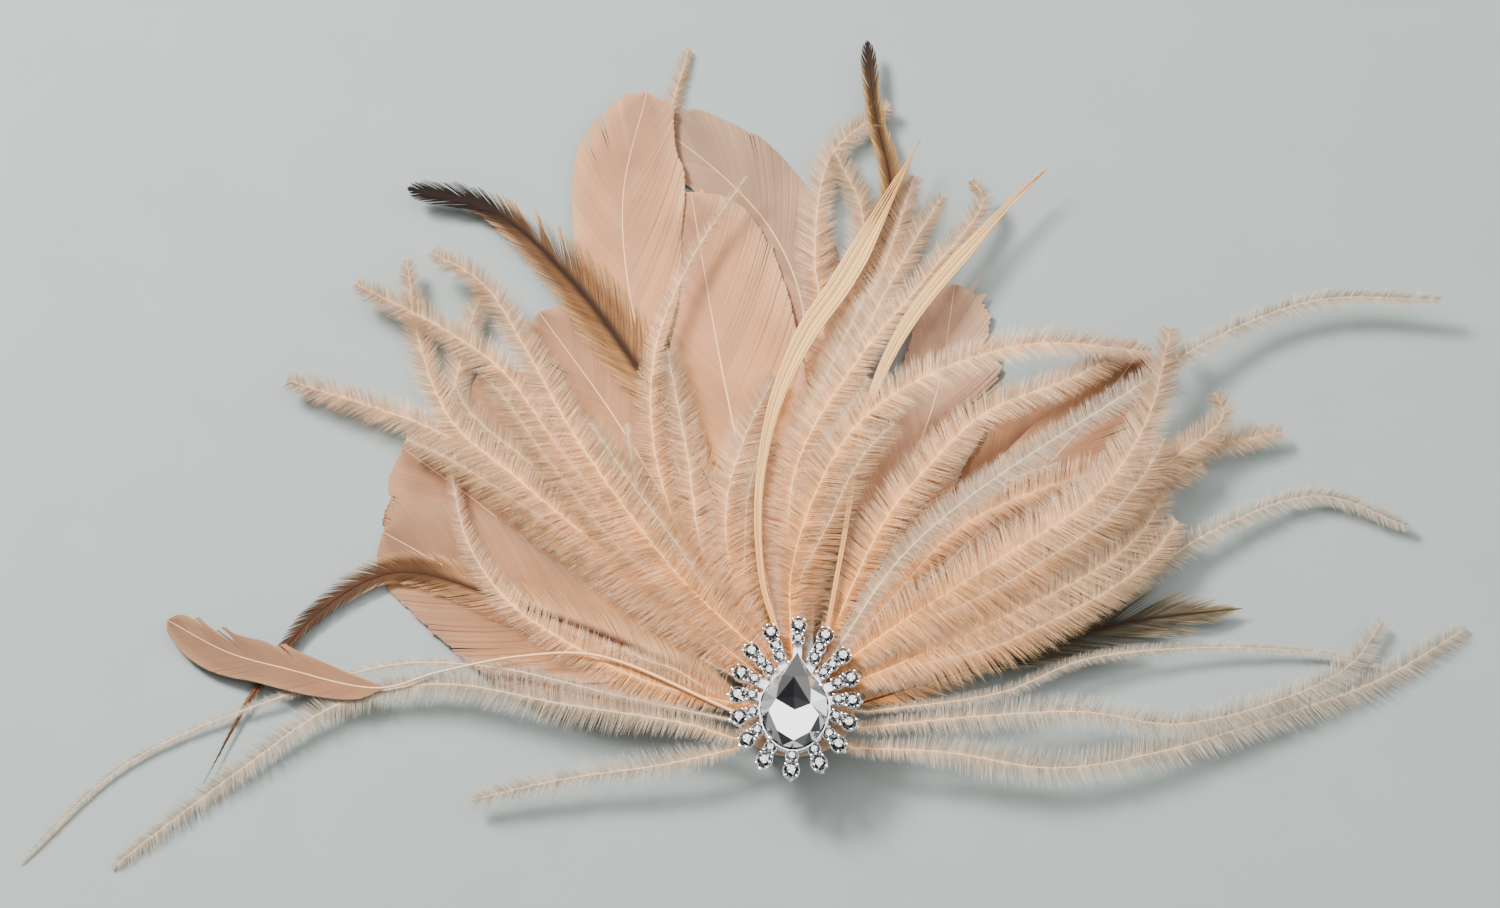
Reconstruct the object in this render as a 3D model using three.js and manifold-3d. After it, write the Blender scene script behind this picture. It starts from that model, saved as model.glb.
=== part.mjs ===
// Flapper headpiece: a fan of goose, rooster and ostrich feathers gathered under a crystal brooch,
// lying on its hair clip. Millimetres, +X across the fan, +Y up the fan, +Z away from the surface.
// The origin is on the clip's flat underside, below the middle of the brooch.
import * as THREE from 'three';
import { mergeVertices } from 'three/addons/utils/BufferGeometryUtils.js';
import Module from 'manifold-3d';

const wasm = await Module();
wasm.setup();

// Clip, and the pad with the raised core that the quills end against
const CLIP_BACK = -10;
const CLIP_FRONT = 36;
const CLIP_WIDTH = 10;
const CLIP_HEIGHT = 5;
const CLIP_WALL = 1.2;
const CLIP_MOUTH = 0.8;
const CLIP_BEND = 7;
const SEAT_GAP = 0.3;
const PAD_HALF_WIDTH = 15;
const PAD_HALF_LENGTH = 11.5;
const PAD_THICKNESS = 2.4;
const PAD_SEGMENTS = 14;
const CORE_RADIUS = 9;
const CORE_Y = 2;
const CORE_SIDES = 24;
const PAD_BOTTOM = CLIP_HEIGHT + SEAT_GAP;
const PAD_TOP = PAD_BOTTOM + PAD_THICKNESS;

// The heap of quills between the pad and the brooch, and how it spreads and sinks away from them
const TOP_LAYER = 13;
const ROOT_STEP = 0.5;
const OPEN_STEP = 1.1;
const END_STEP = 0.35;
const ROOT_RADIUS = 16;
const OPEN_RADIUS = 90;
const END_RADIUS = 165;
const BED_RADIUS = 110;
const BED_ROOT = PAD_TOP + SEAT_GAP + ROOT_STEP / 2;
const BED_FLOOR = 0.5;
const SHAFT_SHARE = 0.75;
const LIFT_POWER = 3;

// Brooch
const BROOCH_BOTTOM = BED_ROOT + (TOP_LAYER + 0.5) * ROOT_STEP + SEAT_GAP;
const PLATE_THICKNESS = 1.2;
const BROOCH_TURN = THREE.MathUtils.degToRad(-3);
const BROOCH_Y = 0.8;
const RAYS = 16;
const RAY_REACH_X = 17.2;
const RAY_REACH_Y = 21.6;
const RAY_WIDTH = 2.4;
const RAY_START = 5;
const OUTER_STONE_RADIUS = 2;
const OUTER_STONE_SETBACK = 2.8;
const INNER_STONE_RADIUS = 1.55;
const INNER_STONE_SETBACK = 6.4;
const SHOULDER_STONE_SETBACK = 9.4;
const SHOULDER_RAYS = [1, 2, 14, 15];
const STONE_SIDES = 8;
const STONE_TABLE_SHARE = 0.58;
const STONE_GIRDLE = 1.7;
const STONE_HEIGHT = 2.7;
const PRONG_RADIUS = 0.82;
const PRONG_SETBACK = 0.55;
const PEAR_HALF_WIDTH = 8.3;
const PEAR_HALF_LENGTH = 12.35;
const PEAR_WIDEST = -1.4;
const PEAR_DROP = 1.1;
const PEAR_SIDE_RISE = 0.32;
const PEAR_NECK_RISE = 0.5;
const PEAR_NECK_WIDTH = 0.39;
const PEAR_POINTS = 16;
const PEAR_PAVILION_SHARE = 0.5;
const PEAR_TABLE_SHARE = 0.6;
const PEAR_GIRDLE = 2.3;
const PEAR_HEIGHT = 4.6;
const BEZEL_GAP = 0.3;
const BEZEL_WALL = 0.9;
const BEZEL_HEIGHT = 2.6;
const BROOCH_PLANE = BROOCH_BOTTOM + PLATE_THICKNESS + STONE_GIRDLE;

// Feather shafts are written as they are seen from EYE: millimetres across and up from the middle of
// the brooch, in the plane through it that faces the eye.
const SIGHT_ANGLE = THREE.MathUtils.degToRad(72);
const SIGHT_DISTANCE = 1400;
const SIGHT_ACROSS = -11.25;
const SIGHT_UP = 61.5;
const SEEN_UP = new THREE.Vector3(0, Math.sin(SIGHT_ANGLE), Math.cos(SIGHT_ANGLE));
const SEEN_BACK = new THREE.Vector3(0, -Math.cos(SIGHT_ANGLE), Math.sin(SIGHT_ANGLE));
const EYE = new THREE.Vector3(SIGHT_ACROSS, 0, BROOCH_PLANE)
  .addScaledVector(SEEN_UP, SIGHT_UP)
  .addScaledVector(SEEN_BACK, SIGHT_DISTANCE);
const LAY_ROUNDS = 6;

// Each feather: its layer in the heap, how far its tip lifts, its half widths left and right of the
// shaft looking towards the tip, where along the shaft its vane starts or is widest, and the shaft from
// root to tip.
const GOOSE = [
  { layer: 3, lift: 2, left: 10, right: 15, vane: 0.5,
    path: [[-7, 11], [-24, 45], [-39, 90], [-43, 125], [-37, 152]] },
  { layer: 0, lift: 0, left: 12, right: 10, vane: 0.5,
    path: [[1, 15], [2, 70], [2, 98], [-5, 116], [-17, 130], [-36, 145]] },
  { layer: 2, lift: 1, left: 10.5, right: 19, vane: 0.1,
    path: [[-3, 12], [-15, 67], [-20, 92], [-26, 127]] },
  { layer: 1, lift: 1, left: 11, right: 12, vane: 0.1,
    path: [[6, 12], [14, 25], [25, 50], [35, 75], [40, 104]] },
  { layer: 0, lift: 0, left: 21, right: 16, vane: 0.1,
    path: [[-11, 4], [-58, 29], [-74, 45], [-98, 63]] },
  { layer: 1, lift: -0.5, left: 15, right: 17, vane: 0.05,
    path: [[-13, 0], [-49, 12], [-76, 27], [-103, 42]] },
  { layer: 2, lift: 1, left: 9, right: 11, vane: 0.1, path: [[-10, 9], [-39, 35], [-59, 60], [-79, 82]] },
  { layer: 1, lift: 1, left: 11, right: 13, vane: 0.1,
    path: [[-7, 13], [-29, 45], [-46, 72], [-64, 97]] },
  { layer: 0, lift: 0, left: 11, right: 10, vane: 0.1, path: [[11, 11], [34, 40], [54, 62], [74, 74]] },
  { layer: 2, lift: 1, left: 9, right: 10, vane: 0.1, path: [[14, 9], [41, 37], [69, 65], [87, 88]] },
  { layer: 6, lift: 0, left: 4.5, right: 4.5, vane: 0.62,
    path: [[-15, -3], [-49, 11], [-68, 11], [-89, 7], [-104, 3], [-128, 8], [-142, 12], [-157, 20]] },
];
const HACKLES = [
  { layer: 4, lift: 4, left: 7, right: 8, widest: 0.6,
    path: [[-7, 16], [-22, 55], [-40, 84], [-55, 104], [-75, 122], [-97, 128]] },
  { layer: 4, lift: 4, left: 4.5, right: 4.5, widest: 0.6,
    path: [[2, 16], [3, 44], [9, 74], [21, 110], [24, 127], [20, 147], [18, 165]] },
  { layer: 3, lift: 0, left: 7, right: 7, widest: 0.7, path: [[16, -1], [51, 10], [81, 19], [112, 23]] },
  { layer: 2, lift: 0, left: 6, right: 7, widest: 0.25,
    path: [[-12, -2], [-43, 14], [-65, 22], [-99, 32], [-119, 22], [-135, 2], [-148, -21]] },
  { layer: 3, lift: 0, left: 5, right: 5, widest: 0.5, path: [[11, 17], [20, 31], [27, 45], [39, 72]] },
];
const BIOTS = [
  { layer: 10, lift: 5, left: 3, right: 3,
    path: [[-4, 16], [-8, 30], [-9, 52], [-5, 74], [3, 92], [12, 105], [32, 141]] },
  { layer: 10, lift: 5, left: 2, right: 2,
    path: [[8, 17], [12, 39], [18, 72], [28, 94], [48, 118], [65, 135]] },
];
const OSTRICH_LEFT = [
  { layer: 8, lift: 4, half: 4.6,
    path: [[-10, 11], [-36, 35], [-59, 63], [-72, 81], [-85, 91], [-110, 104]] },
  { layer: 7, lift: 2.5, half: 4.2,
    path: [[-11, 8], [-39, 30], [-69, 55], [-86, 70], [-94, 90], [-97, 110]] },
  { layer: 5, lift: 1, half: 4.6,
    path: [[-12, 6], [-39, 27], [-69, 51], [-85, 69], [-83, 87], [-78, 103]] },
  { layer: 6, lift: 2.5, half: 5, path: [[-11, 9], [-36, 31], [-64, 52], [-89, 67], [-127, 80]] },
  { layer: 9, lift: 5, half: 4.6,
    path: [[-9, 12], [-29, 31], [-55, 66], [-68, 89], [-78, 104], [-91, 112]] },
  { layer: 4, lift: 0, half: 4.6, path: [[-15, -1], [-38, 5], [-58, 15], [-72, 25], [-82, 40], [-87, 64]] },
  { layer: 5, lift: -1.5, half: 3.8,
    path: [[-14, -10], [-27, -6], [-58, -1], [-89, 4], [-114, -1], [-138, -17], [-171, -42]] },
  { layer: 4, lift: -1.3, half: 1.6,
    path: [[-16, -5], [-44, 1], [-74, 8], [-99, 9], [-125, 2], [-167, -16], [-194, -41]] },
  { layer: 3, lift: 0, half: 2.6, path: [[-14, -12], [-32, -16], [-59, -20], [-81, -25]] },
];
const OSTRICH_MIDDLE = [
  { layer: 7, lift: 5, half: 4.4,
    path: [[-10, 12], [-25, 33], [-35, 62], [-35, 87], [-26, 110], [-12, 131]] },
  { layer: 6, lift: 1, half: 4.4, path: [[-7, 13], [-22, 34], [-27, 62], [-32, 88]] },
  { layer: 5, lift: 0, half: 5, path: [[-10, 14], [-16, 32], [-17, 50], [-12, 67], [-5, 81]] },
  { layer: 1, lift: 0.5, half: 3,
    path: [[-2, 15], [-13, 45], [-24, 82], [-32, 116], [-33, 138], [-26.5, 163]] },
];
const OSTRICH_RIGHT = [
  { layer: 5, lift: 2, half: 4.6, path: [[0, 15], [4, 62], [7, 92], [5, 112], [9, 136], [24, 149]] },
  { layer: 6, lift: 2, half: 4.6, path: [[1, 15], [6, 62], [14, 100], [17, 121], [10, 137]] },
  { layer: 8, lift: 4, half: 4.4, path: [[-1, 15], [0, 50], [10, 76], [27, 110], [37, 126]] },
  { layer: 7, lift: 3, half: 4.6, path: [[0, 15], [11, 80], [21, 105], [30, 131]] },
  { layer: 9, lift: 3, half: 4, path: [[-1, 15], [0, 57], [15, 84], [34, 107], [47, 125], [44, 130]] },
  { layer: 11, lift: 2, half: 4.6,
    path: [[-1, 16], [-1, 31], [4, 49], [14, 67], [29, 79], [59, 89], [89, 87]] },
  { layer: 7, lift: 2, half: 4.6, path: [[8, 14], [22, 44], [33, 58], [48, 72], [68, 80], [86, 89]] },
  { layer: 13, lift: 4, half: 3.6,
    path: [[10, 12], [26, 35], [44, 51], [85, 78], [106, 91], [131, 100], [162, 100]] },
  { layer: 12, lift: 4, half: 5.8, path: [[12, 9], [26, 19], [51, 35], [76, 52], [88, 70], [94, 93]] },
  { layer: 4, lift: 2, half: 4.6, path: [[12, 11], [24, 25], [40, 42], [57, 51], [87, 60], [122, 67]] },
  { layer: 8, lift: 4, half: 4.8, path: [[14, 8], [41, 25], [71, 45], [94, 60], [107, 71], [105, 77]] },
  { layer: 6, lift: 2, half: 5, path: [[13, 6], [29, 14], [47, 25], [63, 40], [84, 51], [102, 59]] },
  { layer: 9, lift: 0, half: 5, path: [[14, 4], [26, 9], [51, 20], [79, 35], [89, 45], [92, 52]] },
  { layer: 5, lift: 1, half: 3.6,
    path: [[15, 2], [31, 6], [51, 14], [77, 25], [106, 43], [131, 51], [154, 43]] },
  { layer: 4, lift: -1, half: 1.8, path: [[18, -3], [52, 2], [72, 10], [99, 13], [128, 12], [148, 8]] },
  { layer: 6, lift: 0, half: 3.6,
    path: [[17, -7], [47, -4], [72, -3], [96, -6], [124, 1], [139, 9], [147, 20]] },
  { layer: 5, lift: -1.2, half: 4,
    path: [[14, -12], [37, -13], [65, -17], [91, -13], [121, -4], [146, 5], [168, 18]] },
];

// Steps along a shaft, the narrowest half widths, and how each kind of feather widens and narrows
const STEP_LENGTH = 8;
const FEWEST_STEPS = 8;
const TIP_CROWDING = 1.5;
const QUILL_HALF = 0.8;
const TIP_HALF = 0.3;
const VANE_ROUNDNESS = 2.4;
const VANE_FULLNESS = 1.35;
const HACKLE_TAPER = 1.4;
const BIOT_ROOT_SHARE = 0.4;
const BIOT_TIP_LENGTH = 0.25;
const FLUE_ROOT_SHARE = 0.3;
const FLUE_GROWTH = 2.8;
const FLUE_TAPER = 0.25;
const FLUE_BLUNTNESS = 8;

const FINISH = {
  steel: new THREE.MeshStandardMaterial({ color: '#b9bcc0', roughness: 0.35, metalness: 1 }),
  felt: new THREE.MeshStandardMaterial({ color: '#c9a98a', roughness: 0.95, metalness: 0 }),
  silver: new THREE.MeshStandardMaterial({ color: '#d5d7da', roughness: 0.2, metalness: 1 }),
  crystal: new THREE.MeshStandardMaterial({ color: '#eef2f5', roughness: 0.03, metalness: 0 }),
  goose: new THREE.MeshStandardMaterial({ color: '#d9b596', roughness: 0.7, metalness: 0 }),
  hackle: new THREE.MeshStandardMaterial({ color: '#6d4a33', roughness: 0.6, metalness: 0 }),
  biot: new THREE.MeshStandardMaterial({ color: '#ecd3a6', roughness: 0.5, metalness: 0 }),
  ostrich: new THREE.MeshStandardMaterial({ color: '#e2cbb4', roughness: 0.8, metalness: 0 }),
};

const headpiece = new THREE.Group();

function addPiece(name, geometry, finish) {
  const mesh = new THREE.Mesh(geometry, FINISH[finish]);
  mesh.name = name;
  headpiece.add(mesh);
}

// Joining solids
function toSolid(geometry) {
  const bare = geometry.clone();
  bare.deleteAttribute('normal');
  bare.deleteAttribute('uv');
  const merged = mergeVertices(bare);
  const vertProperties = new Float32Array(merged.attributes.position.array);
  const triVerts = new Uint32Array(merged.index.array);
  return new wasm.Manifold(new wasm.Mesh({ numProp: 3, vertProperties, triVerts }));
}

function toGeometry(solid) {
  const mesh = solid.getMesh();
  const geometry = new THREE.BufferGeometry();
  geometry.setAttribute('position', new THREE.BufferAttribute(mesh.vertProperties, 3));
  geometry.setIndex(new THREE.BufferAttribute(mesh.triVerts, 1));
  return geometry;
}

// A closed skin over rings of points that follow each other, with a flat cap at each end
function skin(rings) {
  const sides = rings[0].length;
  const positions = rings.flat().flatMap((point) => [point.x, point.y, point.z]);
  const triangles = [];
  for (let ring = 0; ring < rings.length - 1; ring += 1) {
    for (let side = 0; side < sides; side += 1) {
      const a = ring * sides + side;
      const b = ring * sides + ((side + 1) % sides);
      triangles.push(a, b, a + sides, b, b + sides, a + sides);
    }
  }
  const last = (rings.length - 1) * sides;
  for (let side = 1; side < sides - 1; side += 1) {
    triangles.push(0, side + 1, side, last, last + side, last + side + 1);
  }
  const geometry = new THREE.BufferGeometry();
  geometry.setAttribute('position', new THREE.Float32BufferAttribute(positions, 3));
  geometry.setIndex(triangles);
  return geometry;
}

// How high a layer lies at a distance from the middle of the brooch
function ease(value, start, end) {
  return THREE.MathUtils.smoothstep(value, start, end);
}

function layerStep(radius) {
  const opened = THREE.MathUtils.lerp(ROOT_STEP, OPEN_STEP, ease(radius, ROOT_RADIUS, OPEN_RADIUS));
  return THREE.MathUtils.lerp(opened, END_STEP, ease(radius, OPEN_RADIUS, END_RADIUS));
}

function layerHeight(row, x, y, along) {
  const radius = Math.hypot(x, y);
  const bed = THREE.MathUtils.lerp(BED_ROOT, BED_FLOOR, ease(radius, ROOT_RADIUS, BED_RADIUS));
  return bed + row.layer * layerStep(radius) + row.lift * along ** LIFT_POWER;
}

// The point of a feather that is seen at a place across and up
function layDown(row, seen, along) {
  const facing = new THREE.Vector3(seen.x, 0, BROOCH_PLANE).addScaledVector(SEEN_UP, seen.y);
  const laid = new THREE.Vector3();
  let height = 0;
  for (let round = 0; round < LAY_ROUNDS; round += 1) {
    laid.lerpVectors(EYE, facing, (EYE.z - height) / (EYE.z - facing.z));
    height = layerHeight(row, laid.x, laid.y, along);
  }
  return laid;
}

// Where the quill that leads to a point of the fan ends against the core
function quillEnd(first) {
  const core = new THREE.Vector3(0, CORE_Y, first.z);
  return first.clone().sub(core).setLength(CORE_RADIUS + SEAT_GAP).add(core);
}

// A feather as a thin strip along its shaft, thickest at the shaft and sharp at both edges
function strip(row, halfLeft, halfRight) {
  const seen = row.path.map(([across, up]) => new THREE.Vector3(across, up, 0));
  const curve = new THREE.CatmullRomCurve3(seen);
  const steps = Math.max(FEWEST_STEPS, Math.round(curve.getLength() / STEP_LENGTH));
  const stations = Array.from({ length: steps + 1 }, (_, step) => 1 - (1 - step / steps) ** TIP_CROWDING);
  const shaft = stations.map((along) => layDown(row, curve.getPointAt(along), along));
  stations.unshift(0);
  shaft.unshift(quillEnd(shaft[0]));
  const rings = stations.map((along, station) => {
    const before = shaft[Math.max(station - 1, 0)];
    const after = shaft[Math.min(station + 1, steps + 1)];
    const ahead = new THREE.Vector2(after.x - before.x, after.y - before.y).normalize();
    const { x, y } = shaft[station];
    const leftX = x - ahead.y * halfLeft(along);
    const leftY = y + ahead.x * halfLeft(along);
    const rightX = x + ahead.y * halfRight(along);
    const rightY = y - ahead.x * halfRight(along);
    const middle = layerHeight(row, x, y, along);
    const rise = (SHAFT_SHARE * layerStep(Math.hypot(x, y))) / 2;
    return [
      new THREE.Vector3(leftX, leftY, layerHeight(row, leftX, leftY, along)),
      new THREE.Vector3(x, y, middle + rise),
      new THREE.Vector3(rightX, rightY, layerHeight(row, rightX, rightY, along)),
      new THREE.Vector3(x, y, middle - rise),
    ];
  });
  return skin(rings);
}

// Half widths along a shaft, from 0 at its root to 1 at its tip
function gooseHalf(row, half) {
  return (along) => {
    const vane = THREE.MathUtils.clamp((along - row.vane) / (1 - row.vane), 0, 1) ** VANE_FULLNESS;
    const share = (1 - Math.abs(2 * vane - 1) ** VANE_ROUNDNESS) ** (1 / VANE_ROUNDNESS);
    return Math.max(half * share, along < row.vane ? QUILL_HALF : TIP_HALF);
  };
}

function hackleHalf(row, half) {
  const lean = -Math.LN2 / Math.log(row.widest);
  return (along) => Math.max(half * Math.sin(Math.PI * along ** lean) ** HACKLE_TAPER, TIP_HALF);
}

function biotHalf(half) {
  const share = (along) => Math.min(BIOT_ROOT_SHARE + along, 1, (1 - along) / BIOT_TIP_LENGTH);
  return (along) => Math.max(half * share(along), TIP_HALF);
}

function ostrichHalf(half) {
  const root = (along) => Math.min(FLUE_ROOT_SHARE + FLUE_GROWTH * along, 1);
  const body = (along) => root(along) * (1 - FLUE_TAPER * along ** 2);
  return (along) => Math.max(half * body(along) * Math.sqrt(1 - along ** FLUE_BLUNTNESS), TIP_HALF);
}

// Clip: a flat lower jaw and an upper jaw that bends down to meet it at the mouth
function hairClip() {
  const upper = CLIP_HEIGHT - CLIP_WALL;
  const side = new THREE.Shape();
  side.moveTo(CLIP_BACK, 0);
  side.lineTo(CLIP_FRONT, 0);
  side.lineTo(CLIP_FRONT, CLIP_WALL);
  side.lineTo(CLIP_BACK + CLIP_HEIGHT, CLIP_WALL);
  side.lineTo(CLIP_BACK + CLIP_HEIGHT, upper);
  side.lineTo(CLIP_FRONT - CLIP_BEND, upper);
  side.lineTo(CLIP_FRONT, CLIP_WALL + CLIP_MOUTH);
  side.lineTo(CLIP_FRONT, CLIP_WALL * 2 + CLIP_MOUTH);
  side.lineTo(CLIP_FRONT - CLIP_BEND, CLIP_HEIGHT);
  side.lineTo(CLIP_BACK + CLIP_WALL, CLIP_HEIGHT);
  side.lineTo(CLIP_BACK, CLIP_HEIGHT - CLIP_WALL);
  const geometry = new THREE.ExtrudeGeometry(side, { depth: CLIP_WIDTH, bevelEnabled: false });
  geometry.translate(0, 0, -CLIP_WIDTH / 2);
  const alongY = new THREE.Vector3(0, 1, 0);
  const alongZ = new THREE.Vector3(0, 0, 1);
  const alongX = new THREE.Vector3(1, 0, 0);
  return geometry.applyMatrix4(new THREE.Matrix4().makeBasis(alongY, alongZ, alongX));
}

// Pad: an oval disc with a round core that reaches up to the brooch
function backingPad() {
  const outline = new THREE.Shape().absellipse(0, 0, PAD_HALF_WIDTH, PAD_HALF_LENGTH, 0, 2 * Math.PI);
  const settings = { depth: PAD_THICKNESS, bevelEnabled: false, curveSegments: PAD_SEGMENTS };
  const disc = new THREE.ExtrudeGeometry(outline, settings).translate(0, 0, PAD_BOTTOM);
  const coreTop = BROOCH_BOTTOM - SEAT_GAP;
  const coreHeight = coreTop - PAD_BOTTOM;
  const core = new THREE.CylinderGeometry(CORE_RADIUS, CORE_RADIUS, coreHeight, CORE_SIDES);
  core.rotateX(Math.PI / 2).translate(0, CORE_Y, coreTop - coreHeight / 2);
  return toGeometry(toSolid(disc).add(toSolid(core)));
}

// Pear outline: a half ellipse below its widest line and two long sides that meet in a point above it
function pearOutline(grow) {
  const half = PEAR_HALF_WIDTH + grow;
  const top = PEAR_HALF_LENGTH + grow;
  const belly = PEAR_WIDEST + top;
  const outline = new THREE.Shape();
  const side = PEAR_SIDE_RISE * top;
  const neck = PEAR_NECK_RISE * top;
  const neckHalf = PEAR_NECK_WIDTH * half;
  outline.moveTo(half, PEAR_WIDEST);
  outline.bezierCurveTo(half, side, neckHalf, neck, 0, top);
  outline.bezierCurveTo(-neckHalf, neck, -half, side, -half, PEAR_WIDEST);
  outline.absellipse(0, PEAR_WIDEST, half, belly, Math.PI, 2 * Math.PI);
  return outline;
}

function pearPoints(grow) {
  return pearOutline(grow).getSpacedPoints(2 * PEAR_POINTS).slice(0, -1);
}

function pearStone() {
  const bottom = BROOCH_BOTTOM + PLATE_THICKNESS + SEAT_GAP;
  const levels = [
    { share: PEAR_PAVILION_SHARE, height: 0 },
    { share: 1, height: PEAR_GIRDLE },
    { share: PEAR_TABLE_SHARE, height: PEAR_HEIGHT },
  ];
  const corners = pearPoints(0);
  const rings = levels.map(({ share, height }) =>
    corners.map((corner) => new THREE.Vector3(corner.x * share, corner.y * share, bottom + height)));
  return skin(rings).translate(0, -PEAR_DROP, 0);
}

// One round stone in its cup: a straight wall, a sloping crown and a flat table
function roundStone(radius) {
  const profile = [
    new THREE.Vector2(0, 0),
    new THREE.Vector2(radius, 0),
    new THREE.Vector2(radius, STONE_GIRDLE),
    new THREE.Vector2(radius * STONE_TABLE_SHARE, STONE_HEIGHT),
    new THREE.Vector2(0, STONE_HEIGHT),
  ];
  return new THREE.LatheGeometry(profile, STONE_SIDES).rotateX(Math.PI / 2);
}

function broochSetting() {
  const top = BROOCH_BOTTOM + PLATE_THICKNESS;
  const cup = top - BEZEL_GAP;
  const plateOutline = new THREE.Shape(pearPoints(BEZEL_GAP + BEZEL_WALL));
  const plate = new THREE.ExtrudeGeometry(plateOutline, { depth: PLATE_THICKNESS, bevelEnabled: false });
  const wallOutline = new THREE.Shape(pearPoints(BEZEL_GAP + BEZEL_WALL));
  wallOutline.holes.push(new THREE.Path(pearPoints(BEZEL_GAP)));
  const wall = new THREE.ExtrudeGeometry(wallOutline, { depth: BEZEL_HEIGHT, bevelEnabled: false });
  let solid = toSolid(plate.translate(0, -PEAR_DROP, BROOCH_BOTTOM));
  solid = solid.add(toSolid(wall.translate(0, -PEAR_DROP, cup)));
  for (let ray = 0; ray < RAYS; ray += 1) {
    const turn = (2 * Math.PI * ray) / RAYS;
    const reach = 1 / Math.hypot(Math.sin(turn) / RAY_REACH_X, Math.cos(turn) / RAY_REACH_Y);
    const end = reach - PRONG_SETBACK;
    const bar = new THREE.BoxGeometry(RAY_WIDTH, end - RAY_START, PLATE_THICKNESS);
    bar.translate(0, (end + RAY_START) / 2, BROOCH_BOTTOM + PLATE_THICKNESS / 2);
    const prong = new THREE.OctahedronGeometry(PRONG_RADIUS).translate(0, end, top);
    const outer = roundStone(OUTER_STONE_RADIUS).translate(0, reach - OUTER_STONE_SETBACK, cup);
    const inner = roundStone(INNER_STONE_RADIUS).translate(0, reach - INNER_STONE_SETBACK, cup);
    const parts = [bar, prong, outer, inner];
    if (SHOULDER_RAYS.includes(ray)) {
      parts.push(roundStone(INNER_STONE_RADIUS).translate(0, reach - SHOULDER_STONE_SETBACK, cup));
    }
    for (const part of parts) {
      solid = solid.add(toSolid(part.rotateZ(-turn)));
    }
  }
  return toGeometry(solid);
}

addPiece('hair_clip', hairClip(), 'steel');
addPiece('backing_pad', backingPad(), 'felt');
addPiece('brooch_setting', broochSetting().rotateZ(BROOCH_TURN).translate(0, BROOCH_Y, 0), 'silver');
addPiece('pear_stone', pearStone().rotateZ(BROOCH_TURN).translate(0, BROOCH_Y, 0), 'crystal');
GOOSE.forEach((row, index) => {
  const shape = strip(row, gooseHalf(row, row.left), gooseHalf(row, row.right));
  addPiece(`goose_${index + 1}`, shape, 'goose');
});
HACKLES.forEach((row, index) => {
  const shape = strip(row, hackleHalf(row, row.left), hackleHalf(row, row.right));
  addPiece(`hackle_${index + 1}`, shape, 'hackle');
});
BIOTS.forEach((row, index) => {
  addPiece(`biot_${index + 1}`, strip(row, biotHalf(row.left), biotHalf(row.right)), 'biot');
});
const OSTRICH = { left: OSTRICH_LEFT, middle: OSTRICH_MIDDLE, right: OSTRICH_RIGHT };
for (const [side, rows] of Object.entries(OSTRICH)) {
  rows.forEach((row, index) => {
    const half = ostrichHalf(row.half);
    addPiece(`ostrich_${side}_${index + 1}`, strip(row, half, half), 'ostrich');
  });
}

export default headpiece;
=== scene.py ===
import math

import bmesh
import bpy
import numpy as np
from mathutils import Euler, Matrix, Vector


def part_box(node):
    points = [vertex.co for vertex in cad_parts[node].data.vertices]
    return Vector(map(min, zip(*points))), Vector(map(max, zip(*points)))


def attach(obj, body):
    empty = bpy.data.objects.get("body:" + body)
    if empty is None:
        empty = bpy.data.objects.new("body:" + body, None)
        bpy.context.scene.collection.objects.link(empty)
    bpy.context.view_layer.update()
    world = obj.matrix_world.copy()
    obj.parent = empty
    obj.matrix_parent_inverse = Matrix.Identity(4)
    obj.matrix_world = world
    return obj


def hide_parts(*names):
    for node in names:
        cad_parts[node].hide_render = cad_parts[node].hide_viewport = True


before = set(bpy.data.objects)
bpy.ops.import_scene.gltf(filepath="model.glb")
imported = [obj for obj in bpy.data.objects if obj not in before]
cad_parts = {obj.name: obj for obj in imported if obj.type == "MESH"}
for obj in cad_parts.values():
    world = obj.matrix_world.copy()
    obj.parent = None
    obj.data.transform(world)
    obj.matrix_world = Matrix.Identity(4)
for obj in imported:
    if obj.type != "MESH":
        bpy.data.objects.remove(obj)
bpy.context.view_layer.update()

MM = 0.001

# The heap of quills, in millimetres: how its layers lie at the root and out along the fan
SEAT_GAP = 0.3
ROOT_STEP = 0.5
OPEN_STEP = 1.1
END_STEP = 0.35
ROOT_RADIUS = 16
OPEN_RADIUS = 90
END_RADIUS = 165
BED_RADIUS = 110
BED_ROOT = 8.25
BED_FLOOR = 0.5
LIFT_POWER = 3
CORE_RADIUS = 9
CORE_Y = 2

# Brooch sizes in millimetres
BROOCH_BOTTOM = 15.3
BROOCH_Y = 0.8
BROOCH_TURN = math.radians(-3)
PLATE_THICKNESS = 1.2
STONE_GIRDLE = 1.7
BROOCH_PLANE = BROOCH_BOTTOM + PLATE_THICKNESS + STONE_GIRDLE
RAYS = 16
RAY_REACH_X = 17.2
RAY_REACH_Y = 21.6
RAY_START = 5
RAY_WIDTH = 2.2
OUTER_STONE = {"radius": 2.0, "setback": 2.8}
INNER_STONE = {"radius": 1.55, "setback": 6.4}
SHOULDER_STONE = {"radius": 1.55, "setback": 9.4}
SHOULDER_RAYS = (1, 2, 14, 15)
TIP_BEAD = 0.62
PEAR_HALF_WIDTH = 8.3
PEAR_HALF_LENGTH = 12.35
PEAR_WIDEST = -1.4
PEAR_DROP = 1.1
PEAR_SIDE_RISE = 0.32
PEAR_NECK_RISE = 0.5
PEAR_NECK_WIDTH = 0.39
PEAR_GIRDLE = 2.3
PEAR_HEIGHT = 4.6

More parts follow.
